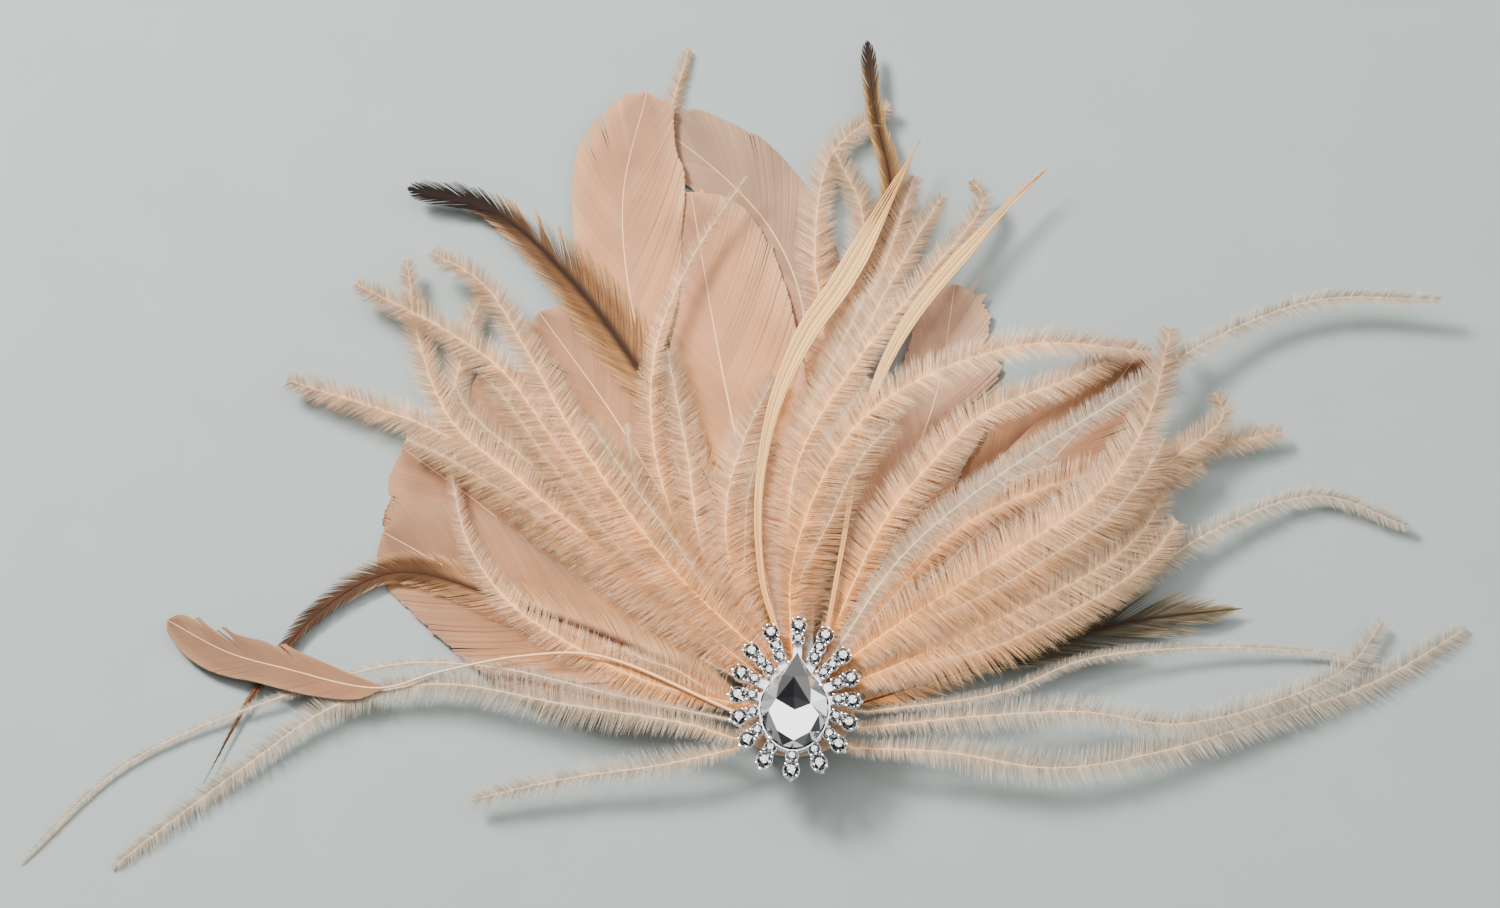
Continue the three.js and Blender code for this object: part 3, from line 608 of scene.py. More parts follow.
def spline(corners):
    """Points at even steps of about SHAFT_STEP along the smooth curve through corners."""
    corners = np.array(corners, float)
    spans = np.vstack([2 * corners[0] - corners[1], corners, 2 * corners[-1] - corners[-2]])
    stretches = []
    share = np.linspace(0, 1, SPLINE_STEPS, endpoint=False)[:, None]
    for before, start, end, after in zip(spans, spans[1:], spans[2:], spans[3:]):
        lead, own, trail = np.sqrt(np.linalg.norm([start - before, end - start, after - end], axis=1))
        leave = own * ((start - before) / lead - (end - before) / (lead + own) + (end - start) / own)
        arrive = own * ((end - start) / own - (after - start) / (own + trail) + (after - end) / trail)
        square = 3 * (end - start) - 2 * leave - arrive
        cube = 2 * (start - end) + leave + arrive
        stretches.append(start + leave * share + square * share**2 + cube * share**3)
    dense = np.vstack([*stretches, corners[-1:]])
    run = np.concatenate([[0], np.cumsum(np.linalg.norm(np.diff(dense, axis=0), axis=1))])
    even = np.linspace(0, run[-1], int(run[-1] / SHAFT_STEP) + 1)
    return np.column_stack([np.interp(even, run, dense[:, axis]) for axis in range(2)])


def lay_down(row, seen, along):
    """The points of a feather that are seen at these places across and up."""
    facing = np.array([0, 0, BROOCH_PLANE]) + np.outer(seen[:, 1], SEEN_UP)
    facing[:, 0] = seen[:, 0]
    height = np.zeros(len(seen))
    for _ in range(LAY_ROUNDS):
        share = (EYE[2] - height) / (EYE[2] - facing[:, 2])
        laid = EYE + (facing - EYE) * share[:, None]
        height = layer_height(row, laid[:, 0], laid[:, 1], along)
    laid[:, 2] = height
    return laid


def shaft_of(row):
    """A shaft's points from the core to the tip, how far along each lies, and its directions there."""
    seen = spline(row["path"])
    along = np.linspace(0, 1, len(seen))
    laid = lay_down(row, seen, along)
    core = np.array([0, CORE_Y, laid[0, 2]])
    quill_end = core + (laid[:1] - core) * (CORE_RADIUS + SEAT_GAP) / np.linalg.norm(laid[0] - core)
    quill = np.linspace(quill_end[0], laid[0], QUILL_STEPS, endpoint=False)
    points = np.vstack([quill, laid])
    along = np.concatenate([np.zeros(QUILL_STEPS), along])
    ahead = unit(np.gradient(points, axis=0))
    left = unit(np.column_stack([-ahead[:, 1], ahead[:, 0], np.zeros(len(points))]))
    return dict(points=points, along=along, ahead=ahead, left=left, up=np.cross(ahead, left),
                run=np.concatenate([[0], np.cumsum(np.linalg.norm(np.diff(points, axis=0), axis=1))]))


# Half widths along a shaft, from 0 at its root to 1 at its tip
def goose_half(row, half, along):
    vane = np.clip((along - row["vane"]) / (1 - row["vane"]), 0, 1) ** VANE_FULLNESS
    return half * (1 - np.abs(2 * vane - 1) ** VANE_ROUNDNESS) ** (1 / VANE_ROUNDNESS)


def hackle_half(row, half, along):
    lean = -math.log(2) / math.log(row["widest"])
    body = half * np.sin(np.pi * along**lean) ** HACKLE_TAPER
    tip = row.get("blunt", 0) * np.sqrt(1 - along**HACKLE_BLUNTNESS)
    return np.where(along > row["widest"], np.maximum(body, tip), body)


def ostrich_half(row, half, along):
    grown = half * np.minimum(FLUE_ROOT_SHARE + FLUE_GROWTH * along, 1) * (1 - FLUE_TAPER * along**2)
    return grown * np.sqrt(1 - along**FLUE_ROUNDNESS)


def biot_half(half, along):
    share = np.minimum(np.minimum(BIOT_ROOT_SHARE + along, 1), (1 - along) / BIOT_TIP_LENGTH)
    return np.maximum(half * share, TIP_HALF)


def down_half(row, half, along):
    return half * np.sqrt(np.sin(np.pi * np.clip(along / row["down_end"], 0, 1)))


HALF_WIDTH = {"goose": goose_half, "hackle": hackle_half, "ostrich": ostrich_half, "down": down_half}


def barb_reach(run, half, lean, bend):
    """How long a barb is that leaves the shaft at each point and ends on the feather's outline."""
    sideways = np.sin(lean) - bend * np.cos(lean)
    forward = np.cos(lean) + bend * np.sin(lean)
    short = np.zeros(len(run))
    long = np.full(len(run), float(LONGEST_BARB))
    for _ in range(BISECTIONS):
        middle = (short + long) / 2
        outside = middle * sideways > np.interp(run + middle * forward, run, half, right=0)
        long = np.where(outside, middle, long)
        short = np.where(outside, short, middle)
    return short


def barb_ways(row, kind, shaft, side):
    """The direction and length of the barbs on one side of a shaft."""
    barbs = {**BARBS[kind], **row}
    along = shaft["along"]
    eased = along**EASE_POWER
    sign = 1 if side == "left" else -1
    half = HALF_WIDTH[kind](row, row.get("half", row.get(side)), along)
    root_lean, tip_lean = np.radians(barbs["lean"])
    lean = root_lean + (tip_lean - root_lean) * eased
    root_fluff, tip_fluff = barbs["fluff"]
    half = half * (root_fluff + (tip_fluff - root_fluff) * eased)
    if kind == "ostrich":
        reach = half / np.sin(lean)
    else:
        reach = barb_reach(shaft["run"], half, lean, barbs["bend"])
        reach[along <= row.get("vane", 0)] = 0
    for place, stray_side, longer, *span in row.get("strays", ()):
        if stray_side == side:
            offset = (along - place) / (span[0] if span else STRAY_SPAN)
            reach = reach * (1 + longer * np.exp(-(offset**2)))
    for place, split_side, width in row.get("splits", ()):
        if split_side == side:
            offset = along - place
            lean = lean - width * np.sign(offset) * np.exp(-np.abs(offset) / SPLIT_SPAN)
    wide = np.maximum(half, NARROWEST_VANE)
    edge = shaft["points"] + sign * shaft["left"] * wide[:, None]
    rise = layer_height(row, edge[:, 0], edge[:, 1], along) - shaft["points"][:, 2]
    out = sign * shaft["left"] + np.outer(rise / wide, (0, 0, 1))
    way = shaft["ahead"] * np.cos(lean)[:, None] + unit(out) * np.sin(lean)[:, None]
    return way, reach


# Feathers: one tree sets barbs along a shaft's line, and every feather is made by it with its own inputs
LENGTHS = ("Pitch", "Half width", "Half thickness", "Clump length")
SHARES = ("Tip share", "Bend", "Droop", "Sway", "Clump", "Gather", "Rise", "Ruffle", "Length jitter")
INPUT_KINDS = {
    "NodeSocketFloat": LENGTHS + SHARES,
    "NodeSocketInt": ("Segments", "Seed"),
    "NodeSocketMaterial": ("Barb finish", "Shaft finish"),
}
# Seeds for the barbs of each side, and how many draws follow each
SIDE_SEEDS = {"left": 10, "right": 20}
DRAWS = 7
SHAFT_SIDES = 6
SHORTEST_BARB = 0.25
CLUMP_SHIFT = 0.37
CLUMP_UNEVENNESS = 0.8
CLUMP_SHADE = 0.6
FLOOR_SOFTNESS = 0.0003

# Ranges of the random draws
OWN_LENGTHS = (-1.0, 0.5)
CLUMP_LENGTHS = (-0.8, 0.4)
EITHER_WAY = (-1.0, 1.0)
MOSTLY_UP = (-0.6, 1.0)


def stored(pen, name, kind="FLOAT"):
    return pen.make("GeometryNodeInputNamedAttribute", {"data_type": kind}, {"Name": name})


def store(geometry, name, value, kind="FLOAT"):
    return geometry.make("GeometryNodeStoreNamedAttribute", {"data_type": kind, "domain": "POINT"},
                         {"Geometry": geometry, "Name": name, "Value": value})


def chance(bounds, seed, number=None):
    """A random value for each point, or for each whole number."""
    low, high = bounds
    sockets = {2: low, 3: high, "Seed": seed}
    if number is not None:
        sockets["ID"] = number
    return seed.make("FunctionNodeRandomValue", {"data_type": "FLOAT"}, sockets, out=1)


def join(first, second):
    both = first.make("GeometryNodeJoinGeometry", {}, {0: first})
    both.tree.links.new(second.socket, both.socket.node.inputs[0])
    return both


def set_finish(geometry, finish):
    return geometry.make("GeometryNodeSetMaterial", {}, {"Geometry": geometry, "Material": finish})


def barbs_on(pen, given, roots, barb, side):
    """Barbs on one side of the shaft, as instances that carry their curl."""
    seed = given["Seed"] + SIDE_SEEDS[side]
    seeds = [seed + draw for draw in range(DRAWS)]
    own_length, own_sway, own_rise, clump_sway, clump_reach, clump_shade, own_shade = seeds
    ahead = pen.make("GeometryNodeInputTangent")
    up = stored(pen, "up", "FLOAT_VECTOR")
    place = stored(pen, "run") / given["Clump length"] + seed * CLUMP_SHIFT
    place = place + pen.make("ShaderNodeTexNoise", {"noise_dimensions": "1D"},
                             {"W": place, "Scale": CLUMP_UNEVENNESS, "Detail": 1.0})
    clump = place.math("FLOOR", place, 0.0)
    longer = chance(OWN_LENGTHS, own_length) + chance(CLUMP_LENGTHS, clump_reach, clump)
    length = stored(pen, side + "_reach") * (1 + given["Length jitter"] * longer)
    sway = given["Sway"] * chance(EITHER_WAY, own_sway)
    sway = sway + given["Clump"] * chance(EITHER_WAY, clump_sway, clump)
    closing = given["Gather"] * given["Clump length"] / pen.math("MAXIMUM", length, SHORTEST_BARB * MM)
    sway = sway - (place - clump - 0.5) * closing
    rise = given["Rise"] + given["Ruffle"] * chance(MOSTLY_UP, own_rise)
    way = stored(pen, side + "_way", "FLOAT_VECTOR").vector("ADD", ahead.vector("SCALE", sway))
    way = way.vector("ADD", up.vector("SCALE", rise))
    way = way.make("ShaderNodeVectorMath", {"operation": "NORMALIZE"}, {0: way})
    overlap = way.make("ShaderNodeVectorMath", {"operation": "DOT_PRODUCT"}, {0: ahead, 1: way}, out=1)
    to_tip = ahead.vector("SUBTRACT", way.vector("SCALE", overlap))
    curl = to_tip.vector("SCALE", given["Bend"] * length)
    curl = curl.vector("SUBTRACT", up.vector("SCALE", given["Droop"] * length))
    roots = store(roots, "curl", curl, "FLOAT_VECTOR")
    shade = chance((0.0, CLUMP_SHADE), clump_shade, clump) + chance((0.0, 1 - CLUMP_SHADE), own_shade)
    roots = store(roots, "grain", shade)
    turn = pen.make("FunctionNodeAxesToRotation", {"primary_axis": "X", "secondary_axis": "Z"},
                    {"Primary Axis": way, "Secondary Axis": up})
    size = pen.make("ShaderNodeCombineXYZ", {}, {
        0: length, 1: given["Half width"], 2: given["Half thickness"]})
    grown = pen.math("GREATER_THAN", length, SHORTEST_BARB * MM)
    return pen.make("GeometryNodeInstanceOnPoints", {}, {
        "Points": roots, "Selection": grown, "Instance": barb, "Rotation": turn, "Scale": size})


def feather_tree():
    tree = bpy.data.node_groups.new("feather", "GeometryNodeTree")
    tree.interface.new_socket("Shaft", in_out="INPUT", socket_type="NodeSocketGeometry")
    tree.interface.new_socket("Feather", in_out="OUTPUT", socket_type="NodeSocketGeometry")
    keys = {}
    for kind, names in INPUT_KINDS.items():
        for name in names:
            keys[name] = tree.interface.new_socket(name, in_out="INPUT", socket_type=kind).identifier
    pen = Wire(tree)
    given = pen.make("NodeGroupInput")
    line = pen.make("GeometryNodeMeshToCurve", {}, {"Mesh": given["Shaft"]})
    roots = pen.make("GeometryNodeResampleCurve", {"mode": "LENGTH"},
                     {"Curve": line, "Length": given["Pitch"]})
    barb = pen.make("GeometryNodeMeshCone", {"fill_type": "NGON"}, {
        "Vertices": 3, "Side Segments": given["Segments"], "Radius Top": given["Tip share"],
        "Radius Bottom": 1.0, "Depth": 1.0})
    barb = pen.make("GeometryNodeTransform", {}, {
        "Geometry": barb, "Rotation": Euler((0, -math.pi / 2, math.pi))})
    place = pen.make("ShaderNodeSeparateXYZ", {}, {0: pen.make("GeometryNodeInputPosition")})
    barb = store(barb, "edge", place)
    barbs = join(*(barbs_on(pen, given, roots, barb, side) for side in SIDE_SEEDS))
    barbs = pen.make("GeometryNodeRealizeInstances", {}, {"Geometry": barbs})
    edge = stored(pen, "edge")
    offset = stored(pen, "curl", "FLOAT_VECTOR").vector("SCALE", edge * edge)
    barbs = pen.make("GeometryNodeSetPosition", {}, {"Geometry": barbs, "Offset": offset})
    sunk = pen.math("MINIMUM", (place["Z"] - FLOOR_SOFTNESS) / FLOOR_SOFTNESS, 0.0)
    eased = pen.math("MAXIMUM", place["Z"], FLOOR_SOFTNESS * pen.math("EXPONENT", sunk, 0.0))
    above = pen.make("ShaderNodeCombineXYZ", {}, {0: place, 1: place["Y"], 2: eased})
    barbs = pen.make("GeometryNodeSetPosition", {}, {"Geometry": barbs, "Position": above})
    barbs = pen.make("GeometryNodeSetShadeSmooth", {}, {"Geometry": barbs, "Shade Smooth": False})
    ring = pen.make("GeometryNodeCurvePrimitiveCircle", {}, {"Resolution": SHAFT_SIDES, "Radius": 1.0})
    shaft = pen.make("GeometryNodeCurveToMesh", {}, {
        "Curve": line, "Profile Curve": ring, "Scale": stored(pen, "shaft_half"), "Fill Caps": True})
    whole = join(set_finish(barbs, given["Barb finish"]), set_finish(shaft, given["Shaft finish"]))
    pen.make("NodeGroupOutput", {}, {"Feather": whole})
    return tree, keys


FEATHER_TREE, FEATHER_KEYS = feather_tree()
LOOSE_NAMES = ("left_way", "right_way", "left_reach", "right_reach", "up", "run", "shaft_half", "curl")


def add_object(name, mesh):
    piece = bpy.data.objects.new(name, mesh)
    bpy.context.scene.collection.objects.link(piece)
    return piece


def dress(piece, node):
    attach(piece, "root")
    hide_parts(node)


def write(mesh, values, domain="POINT"):
    """Stores lists of numbers or of vectors on a mesh, by name."""
    for name, numbers in values.items():
        numbers = np.array(numbers, np.float32)
        kind, key = ("FLOAT", "value") if numbers.ndim == 1 else ("FLOAT_VECTOR", "vector")
        mesh.attributes.new(name, kind, domain).data.foreach_set(key, numbers.ravel())


def grow_feather(name, row, kind, barb_finish, shaft_finish, seed):
    """A feather's line with its barbs still live."""
    barbs = {**BARBS[kind], **row}
    shaft = shaft_of(row)
    along = shaft["along"]
    thick, thin = barbs["shaft"]
    values = {"along": along, "run": shaft["run"] * MM, "up": shaft["up"],
              "shaft_half": (thick + (thin - thick) * along) * MM,
              "tone": np.full(len(along), row.get("tone", 1.0))}
    for side in SIDE_SEEDS:
        way, reach = barb_ways(row, kind, shaft, side)
        values[side + "_way"] = way
        values[side + "_reach"] = reach * MM
    mesh = bpy.data.meshes.new(name + "_line")
    mesh.from_pydata((shaft["points"] * MM).tolist(), [(i, i + 1) for i in range(len(along) - 1)], [])
    write(mesh, values)
    piece = add_object(name, mesh)
    modifier = piece.modifiers.new("barbs", "NODES")
    modifier.node_group = FEATHER_TREE
    inputs = {"Segments": barbs["segments"], "Seed": seed, "Barb finish": FINISH[barb_finish],
              "Shaft finish": FINISH[shaft_finish]}
    for key in LENGTHS + SHARES:
        inputs[key] = barbs[key.lower().replace(" ", "_")] * (MM if key in LENGTHS else 1)
    for key, value in inputs.items():
        modifier[FEATHER_KEYS[key]] = value
    return piece


def settle(piece):
    """Turns what the live tree makes into the piece's own mesh."""
    live = piece.evaluated_get(bpy.context.evaluated_depsgraph_get())
    mesh = bpy.data.meshes.new_from_object(live)
    piece.modifiers.clear()
    line = piece.data
    piece.data = mesh
    bpy.data.meshes.remove(line)
    for name in LOOSE_NAMES:
        if name in mesh.attributes:
            mesh.attributes.remove(mesh.attributes[name])


def under_flue(row, shift, share):
    """A shorter plume that leaves the root with another and drifts to its side, just under it, darkened
    with painted shade.
    """
    seen = spline(row["path"])
    seen = seen[:int(share * len(seen))]
    ahead = unit(np.gradient(seen, axis=0))
    left = np.column_stack([-ahead[:, 1], ahead[:, 0]])
    away = shift * smooth(np.linspace(0, 1, len(seen)), 0, UNDER_DRIFT)
    path = (seen + left * away[:, None])[::UNDER_STEP]
    lift = row["lift"] * share**LIFT_POWER
    return dict(row, path=path, layer=row["layer"] - UNDER_DROP, lift=lift, tone=UNDER_PAINTED_SHADE)


def feathers():
    grown = []
    known = {}
    for family, (piece_name, node_name, rows, kind, shaft_finish) in enumerate(FAMILIES):
        for index, row in enumerate(rows, 1):
            name = f"{piece_name}_{index}"
            node = f"{node_name}_{index}"
            known[node] = (row, kind)
            seed = FAMILY_SEED * family + index
            piece = grow_feather(name, row, kind, row.get("finish", kind), shaft_finish, seed)
            grown.append((piece, node, kind))
            beside = UNDER_FLUES.get(node.removeprefix("ostrich_"))
            if beside:
                under = under_flue(row, *beside)
                piece = grow_feather(name + "_under", under, kind, "under_flue", shaft_finish,
                                     seed + UNDER_SEED)
                grown.append((piece, node, kind))
    for node, (half, end) in DOWN.items():
        row, kind = known[node]
        tuft = dict(layer=row["layer"], lift=row["lift"], path=row["path"], half=half, down_end=end,
                    tone=DOWN_PAINTED_SHADE)
        piece = grow_feather(node + "_down", tuft, "down", "down", "goose_shaft", DOWN_SEED + len(grown))
        grown.append((piece, node, kind))
    for piece, node, slot in grown:
        settle(piece)
        dress(piece, node)


# Meshes made of rings of points
def loft(points, faces, rings, looped=False):
    """Adds walls from ring to ring, with a cap at each end or, if looped, back to the first ring."""
    first = len(points)
    count = len(rings[0])
    for ring in rings:
        points.extend(ring)
    last = first + (len(rings) - 1) * count
    starts = list(range(first, last + 1, count))
    for low, high in zip(starts, starts[1:] + (starts[:1] if looped else [])):
        for index in range(count):
            after = (index + 1) % count
            faces.append((low + index, low + after, high + after, high + index))
    if not looped:
        faces.append(tuple(reversed(range(first, first + count))))
        faces.append(tuple(range(last, last + count)))


def level(outline, height):
    return [(x, y, height) for x, y in outline]


def add_mesh(name, points, faces, finish, node):
    mesh = bpy.data.meshes.new(name)
    mesh.from_pydata(points, [], faces)
    mesh.materials.append(FINISH[finish])
    mesh.update()
    dress(add_object(name, mesh), node)
    return mesh


# Biots: long strips side by side that part at the root and fray at the tip. Shares are of the shaft where
# they say where along it, and else of the biot's half width or the strip's.
BIOT_THICKNESS = 0.35
BIOT_SLENDER = 0.5
BIOT_WIDENS = (0.25, 0.7)
BIOT_FRAY = 1.3
BIOT_FRAYS = (0.75, 1.0)
BIOT_PARTING = 0.7
BIOT_PARTS = 0.3
STRIP_DRIFT = 0.6
STRIP_TAPER = 0.05
STRIP_JITTER = 0.03
STRIP_OVERLAP = 1.15
STRIP_BLUNTNESS = 12
STRIP_STEP = 0.2
STRIP_RISE = 0.1
STRIP_NARROWEST = 0.16
STRIP_FLAT = 0.4
STRIP_EDGES = (0.0, 1.0, 0.3, 0.3, 1.0)


def biot(index, row):
    shaft = shaft_of(row)
    along = shaft["along"]
    half = biot_half(row["half"], along)
    half = half * (BIOT_SLENDER + (1 - BIOT_SLENDER) * smooth(along, *BIOT_WIDENS))
    parting = smooth(-along, -BIOT_PARTS, 0.0) * BIOT_PARTING
    fray = BIOT_FRAY * np.maximum(smooth(along, *BIOT_FRAYS), parting)
    chooser = np.random.default_rng(BIOT_SEED + index)
    points = []
    faces = []
    values = {"along": [], "edge": [], "grain": []}
    for strip in range(row["strips"]):
        lane = (2 * strip + 1) / row["strips"] - 1
        drift = chooser.uniform(-0.5, 0.5) * fray
        length = 1 - STRIP_TAPER * abs(lane) - chooser.uniform(0, STRIP_JITTER)
        narrowing = np.sqrt(np.clip(1 - (along / length) ** STRIP_BLUNTNESS, 0, 1))
        width = np.maximum(half / row["strips"] * STRIP_OVERLAP * narrowing, STRIP_NARROWEST)
        middle = lane * half + drift * half * STRIP_DRIFT
        rise = STRIP_STEP * (strip % 2) + STRIP_RISE * chooser.uniform(-1, 1) * fray
        grain = chooser.uniform(0, 1)
        centre = shaft["points"] + shaft["left"] * middle[:, None] + shaft["up"] * rise[:, None]
        side = shaft["left"] * width[:, None]
        lift = shaft["up"] * BIOT_THICKNESS / 2
        rings = np.stack([centre - lift, centre - side, centre - side * STRIP_FLAT + lift,
                          centre + side * STRIP_FLAT + lift, centre + side], axis=1)
        kept = np.nonzero(along <= length)[0]
        loft(points, faces, (rings[kept] * MM).tolist())
        for station in kept:
            values["along"] += [along[station]] * len(STRIP_EDGES)
            values["edge"] += STRIP_EDGES
            values["grain"] += [grain] * len(STRIP_EDGES)
    write(add_mesh(f"biot_feather_{index}", points, faces, "straw", f"biot_{index}"), values)


# Brooch
PEAR_STEPS = 24
BELLY_STEPS = 40
# Corners of the pear's table and of the kite that shows in it, across and up in millimetres, the kite's
# also over the table
TABLE_CORNERS = {
    "tip": (-0.1, 11.4), "left_neck": (-3.3, 5.8), "left_side": (-4.3, 2.8), "left_heart": (-4.7, -0.5),
    "left": (-6.4, -3.6), "left_foot": (-4.0, -8.6), "foot": (0.2, -11.0), "right_foot": (4.1, -8.6),
    "right": (6.2, -4.0), "right_heart": (4.0, -1.3), "right_side": (3.9, 2.6), "right_neck": (3.0, 5.6),
}
KITE_CORNERS = {"kite_top": (-0.5, 5.5, 0), "kite_foot": (0.1, -3.1, 0), "kite_middle": (-0.2, 0.2, 0.25)}
# The table's facets by their corners, then three facets of the crown at each corner, and the share of
# light that each mirrors: painted reflections, with a dark kite and a white heart on the table that stand
# for the stone's inner reflections
TABLE_FACETS = (
    ("tip left_neck kite_top right_neck", 0.07),
    ("left_neck left_side left_heart kite_top", 0.05),
    ("right_neck kite_top right_heart right_side", 0.09),
    ("kite_top left_heart kite_middle", 0.004),
    ("left_heart kite_foot kite_middle", 0.008),
    ("kite_foot right_heart kite_middle", 0.02),
    ("right_heart kite_top kite_middle", 0.01),
    ("left_heart left left_foot foot right_foot right right_heart kite_foot", 1.0),
)
CROWN_PAINTED_REFLECTIONS = (
    0.75, 0.6, 0.85, 0.62, 0.5, 0.8, 0.7, 0.92, 0.55, 0.8, 0.6, 0.95, 0.15, 0.95, 0.3, 1.0, 0.2, 1.0,
    1.0, 0.9, 0.25, 1.0, 0.4, 0.95, 0.3, 0.8, 0.45, 0.55, 0.7, 0.5, 0.6, 0.75, 0.55, 0.5, 0.66, 0.8)
PEAR_UNDER_SHADE = 0.6
PEAR_BASE_SHARE = 0.5
CROWN_MILK = 0.24
FOOT_MILK = 0.1
FOOT_CORNERS = ("left", "left_foot", "foot", "right_foot", "right")


def pear_outline(grow):
    """The pear's edge, widened by grow, from its widest point on the right, turning left."""
    half = PEAR_HALF_WIDTH + grow
    top = PEAR_HALF_LENGTH + grow
    share = np.linspace(0, 1, PEAR_STEPS, endpoint=False)[:, None]
    corners = np.array([(half, PEAR_WIDEST), (half, PEAR_SIDE_RISE * top),
                        (PEAR_NECK_WIDTH * half, PEAR_NECK_RISE * top), (0, top)])
    rest = 1 - share
    right = np.hstack([rest**3, 3 * share * rest**2, 3 * share**2 * rest, share**3]) @ corners
    left = np.vstack([[(0, top)], right[:0:-1] * (-1, 1)])
    turn = np.linspace(math.pi, 2 * math.pi, BELLY_STEPS, endpoint=False)
    belly = np.column_stack([half * np.cos(turn), PEAR_WIDEST + (PEAR_WIDEST + top) * np.sin(turn)])
    return np.vstack([right, left, belly])


def pear_edge(angle):
    """The point of the pear's girdle that lies in a direction from its middle."""
    outline = pear_outline(0)
    whole = 2 * math.pi
    angles = np.arctan2(outline[:, 1], outline[:, 0]) % whole
    order = np.argsort(angles)
    radius = np.interp(angle % whole, angles[order], np.hypot(*outline[order].T), period=whole)
    return np.array([radius * math.cos(angle), radius * math.sin(angle)])


def to_brooch(points, drop=0.0):
    """Brooch points, in millimetres from its middle and up from its plate's underside, in the frame."""
    x, y, z = (np.array(points, float) - (0, drop, 0)).T
    turned = np.column_stack([x * math.cos(BROOCH_TURN) - y * math.sin(BROOCH_TURN),
                              x * math.sin(BROOCH_TURN) + y * math.cos(BROOCH_TURN) + BROOCH_Y,
                              z + BROOCH_BOTTOM])
    return (turned * MM).tolist()


def pear_stone():
    base = PLATE_THICKNESS + SEAT_GAP
    table = base + PEAR_HEIGHT
    corners = np.array(list(TABLE_CORNERS.values()))
    count = len(corners)
    around = 2 * count
    angles = np.unwrap(np.arctan2(corners[:, 1], corners[:, 0]))
    halfway = (angles + np.append(angles[1:], angles[0] + 2 * math.pi)) / 2
    girdle = np.array([pear_edge(angle) for pair in zip(angles, halfway) for angle in pair])
    points = level(corners, table) + level(girdle, base + PEAR_GIRDLE)
    points += level(girdle * PEAR_BASE_SHARE, base)
    numbers = {name: index for index, name in enumerate(TABLE_CORNERS)}
    for name, (x, y, rise) in KITE_CORNERS.items():
        numbers[name] = len(points)
        points.append((x, y, table + rise))
    faces = [tuple(numbers[name] for name in names.split()) for names, _ in TABLE_FACETS]
    # The table and the crown carry painted reflections: the share of light that each of their facets
    # mirrors
    painted_reflections = [shade for _, shade in TABLE_FACETS] + list(CROWN_PAINTED_REFLECTIONS)
    milk = [0.0] * len(faces)
    for index, name in enumerate(TABLE_CORNERS):
        following = (index + 1) % count
        before, between, after = (count + (2 * index + step) % around for step in range(3))
        faces += [(index, before, between), (index, between, following), (following, between, after)]
        milk += [FOOT_MILK if name in FOOT_CORNERS else CROWN_MILK] * 3
    low = count + around
    for index in range(around):
        following = (index + 1) % around
        faces.append((count + index, low + index, low + following, count + following))
    faces.append(tuple(reversed(range(low, low + around))))
    beneath = len(faces) - len(painted_reflections)
    painted_reflections += [PEAR_UNDER_SHADE] * beneath
    milk += [CROWN_MILK] * beneath
    mesh = add_mesh("pear_crystal", to_brooch(points, PEAR_DROP), faces, "crystal", "pear_stone")
    write(mesh, {"facet": painted_reflections, "milk": milk}, "FACE")


def ray_reach(turn):
    return 1 / math.hypot(math.sin(turn) / RAY_REACH_X, math.cos(turn) / RAY_REACH_Y)


def ray_stones():
    """Each small stone of the rays: where it sits, its radius and the turn of its ray."""
    stones = []
    for ray in range(RAYS):
        turn = 2 * math.pi * ray / RAYS
        for row in [OUTER_STONE, INNER_STONE] + [SHOULDER_STONE] * (ray in SHOULDER_RAYS):
            far = ray_reach(turn) - row["setback"]
            stones.append((far * math.sin(turn), far * math.cos(turn), row["radius"], turn))
    return stones


STONE_SEAT = PLATE_THICKNESS - SEAT_GAP
STONE_SIDES = 8
GIRDLE_SIDES = 2 * STONE_SIDES
TABLE_HEIGHT = 2.75
CULET_HEIGHT = 0.3
# A round stone's rings from table to girdle: radius as a share, height, corners and turn in corners
BRILLIANT_RINGS = ((0.54, TABLE_HEIGHT, STONE_SIDES, 0.0), (0.78, 2.35, STONE_SIDES, 0.5),
                   (1.0, 1.75, GIRDLE_SIDES, 0.0), (1.0, 1.55, GIRDLE_SIDES, 0.0))
# Painted reflections on the facets of two neighbouring points of a stone's star: table, star, kite and two
# at the girdle
STAR_PAINTED_REFLECTIONS = ((1.0, 0.06, 1.0, 0.04, 0.9), (0.5, 1.0, 0.2, 1.0, 0.03))
STAR_POINTS = 4
STAR_JITTER = 0.5
UNDER_SHADE = 0.4


def circle(x, y, radius, corners, start=0.0):
    angles = start + 2 * math.pi * np.arange(corners) / corners
    return np.column_stack([x + radius * np.cos(angles), y + radius * np.sin(angles)])


def brilliant(x, y, radius, turn):
    """Points and facets of one round cut stone."""
    points = []
    starts = []
    for share, height, corners, offset in BRILLIANT_RINGS:
        starts.append(len(points))
        start = 2 * math.pi * offset / corners + turn
        points += level(circle(x, y, radius * share, corners, start), STONE_SEAT + height)
    table, kite, girdle, under = starts
    culet = len(points)
    centre = culet + 1
    points += [(x, y, STONE_SEAT + CULET_HEIGHT), (x, y, STONE_SEAT + TABLE_HEIGHT)]
    faces = []
    for i in range(STONE_SIDES):
        after = (i + 1) % STONE_SIDES
        before = (i - 1) % STONE_SIDES
        left, middle, right = (girdle + (2 * i + step) % GIRDLE_SIDES for step in range(3))
        faces += [(table + i, table + after, centre), (table + i, kite + i, table + after),
                  (table + i, kite + before, left, kite + i), (kite + i, left, middle),
                  (kite + i, middle, right)]
    for i in range(GIRDLE_SIDES):
        after = (i + 1) % GIRDLE_SIDES
        faces += [(girdle + i, under + i, under + after, girdle + after), (under + i, culet, under + after)]
    return points, faces


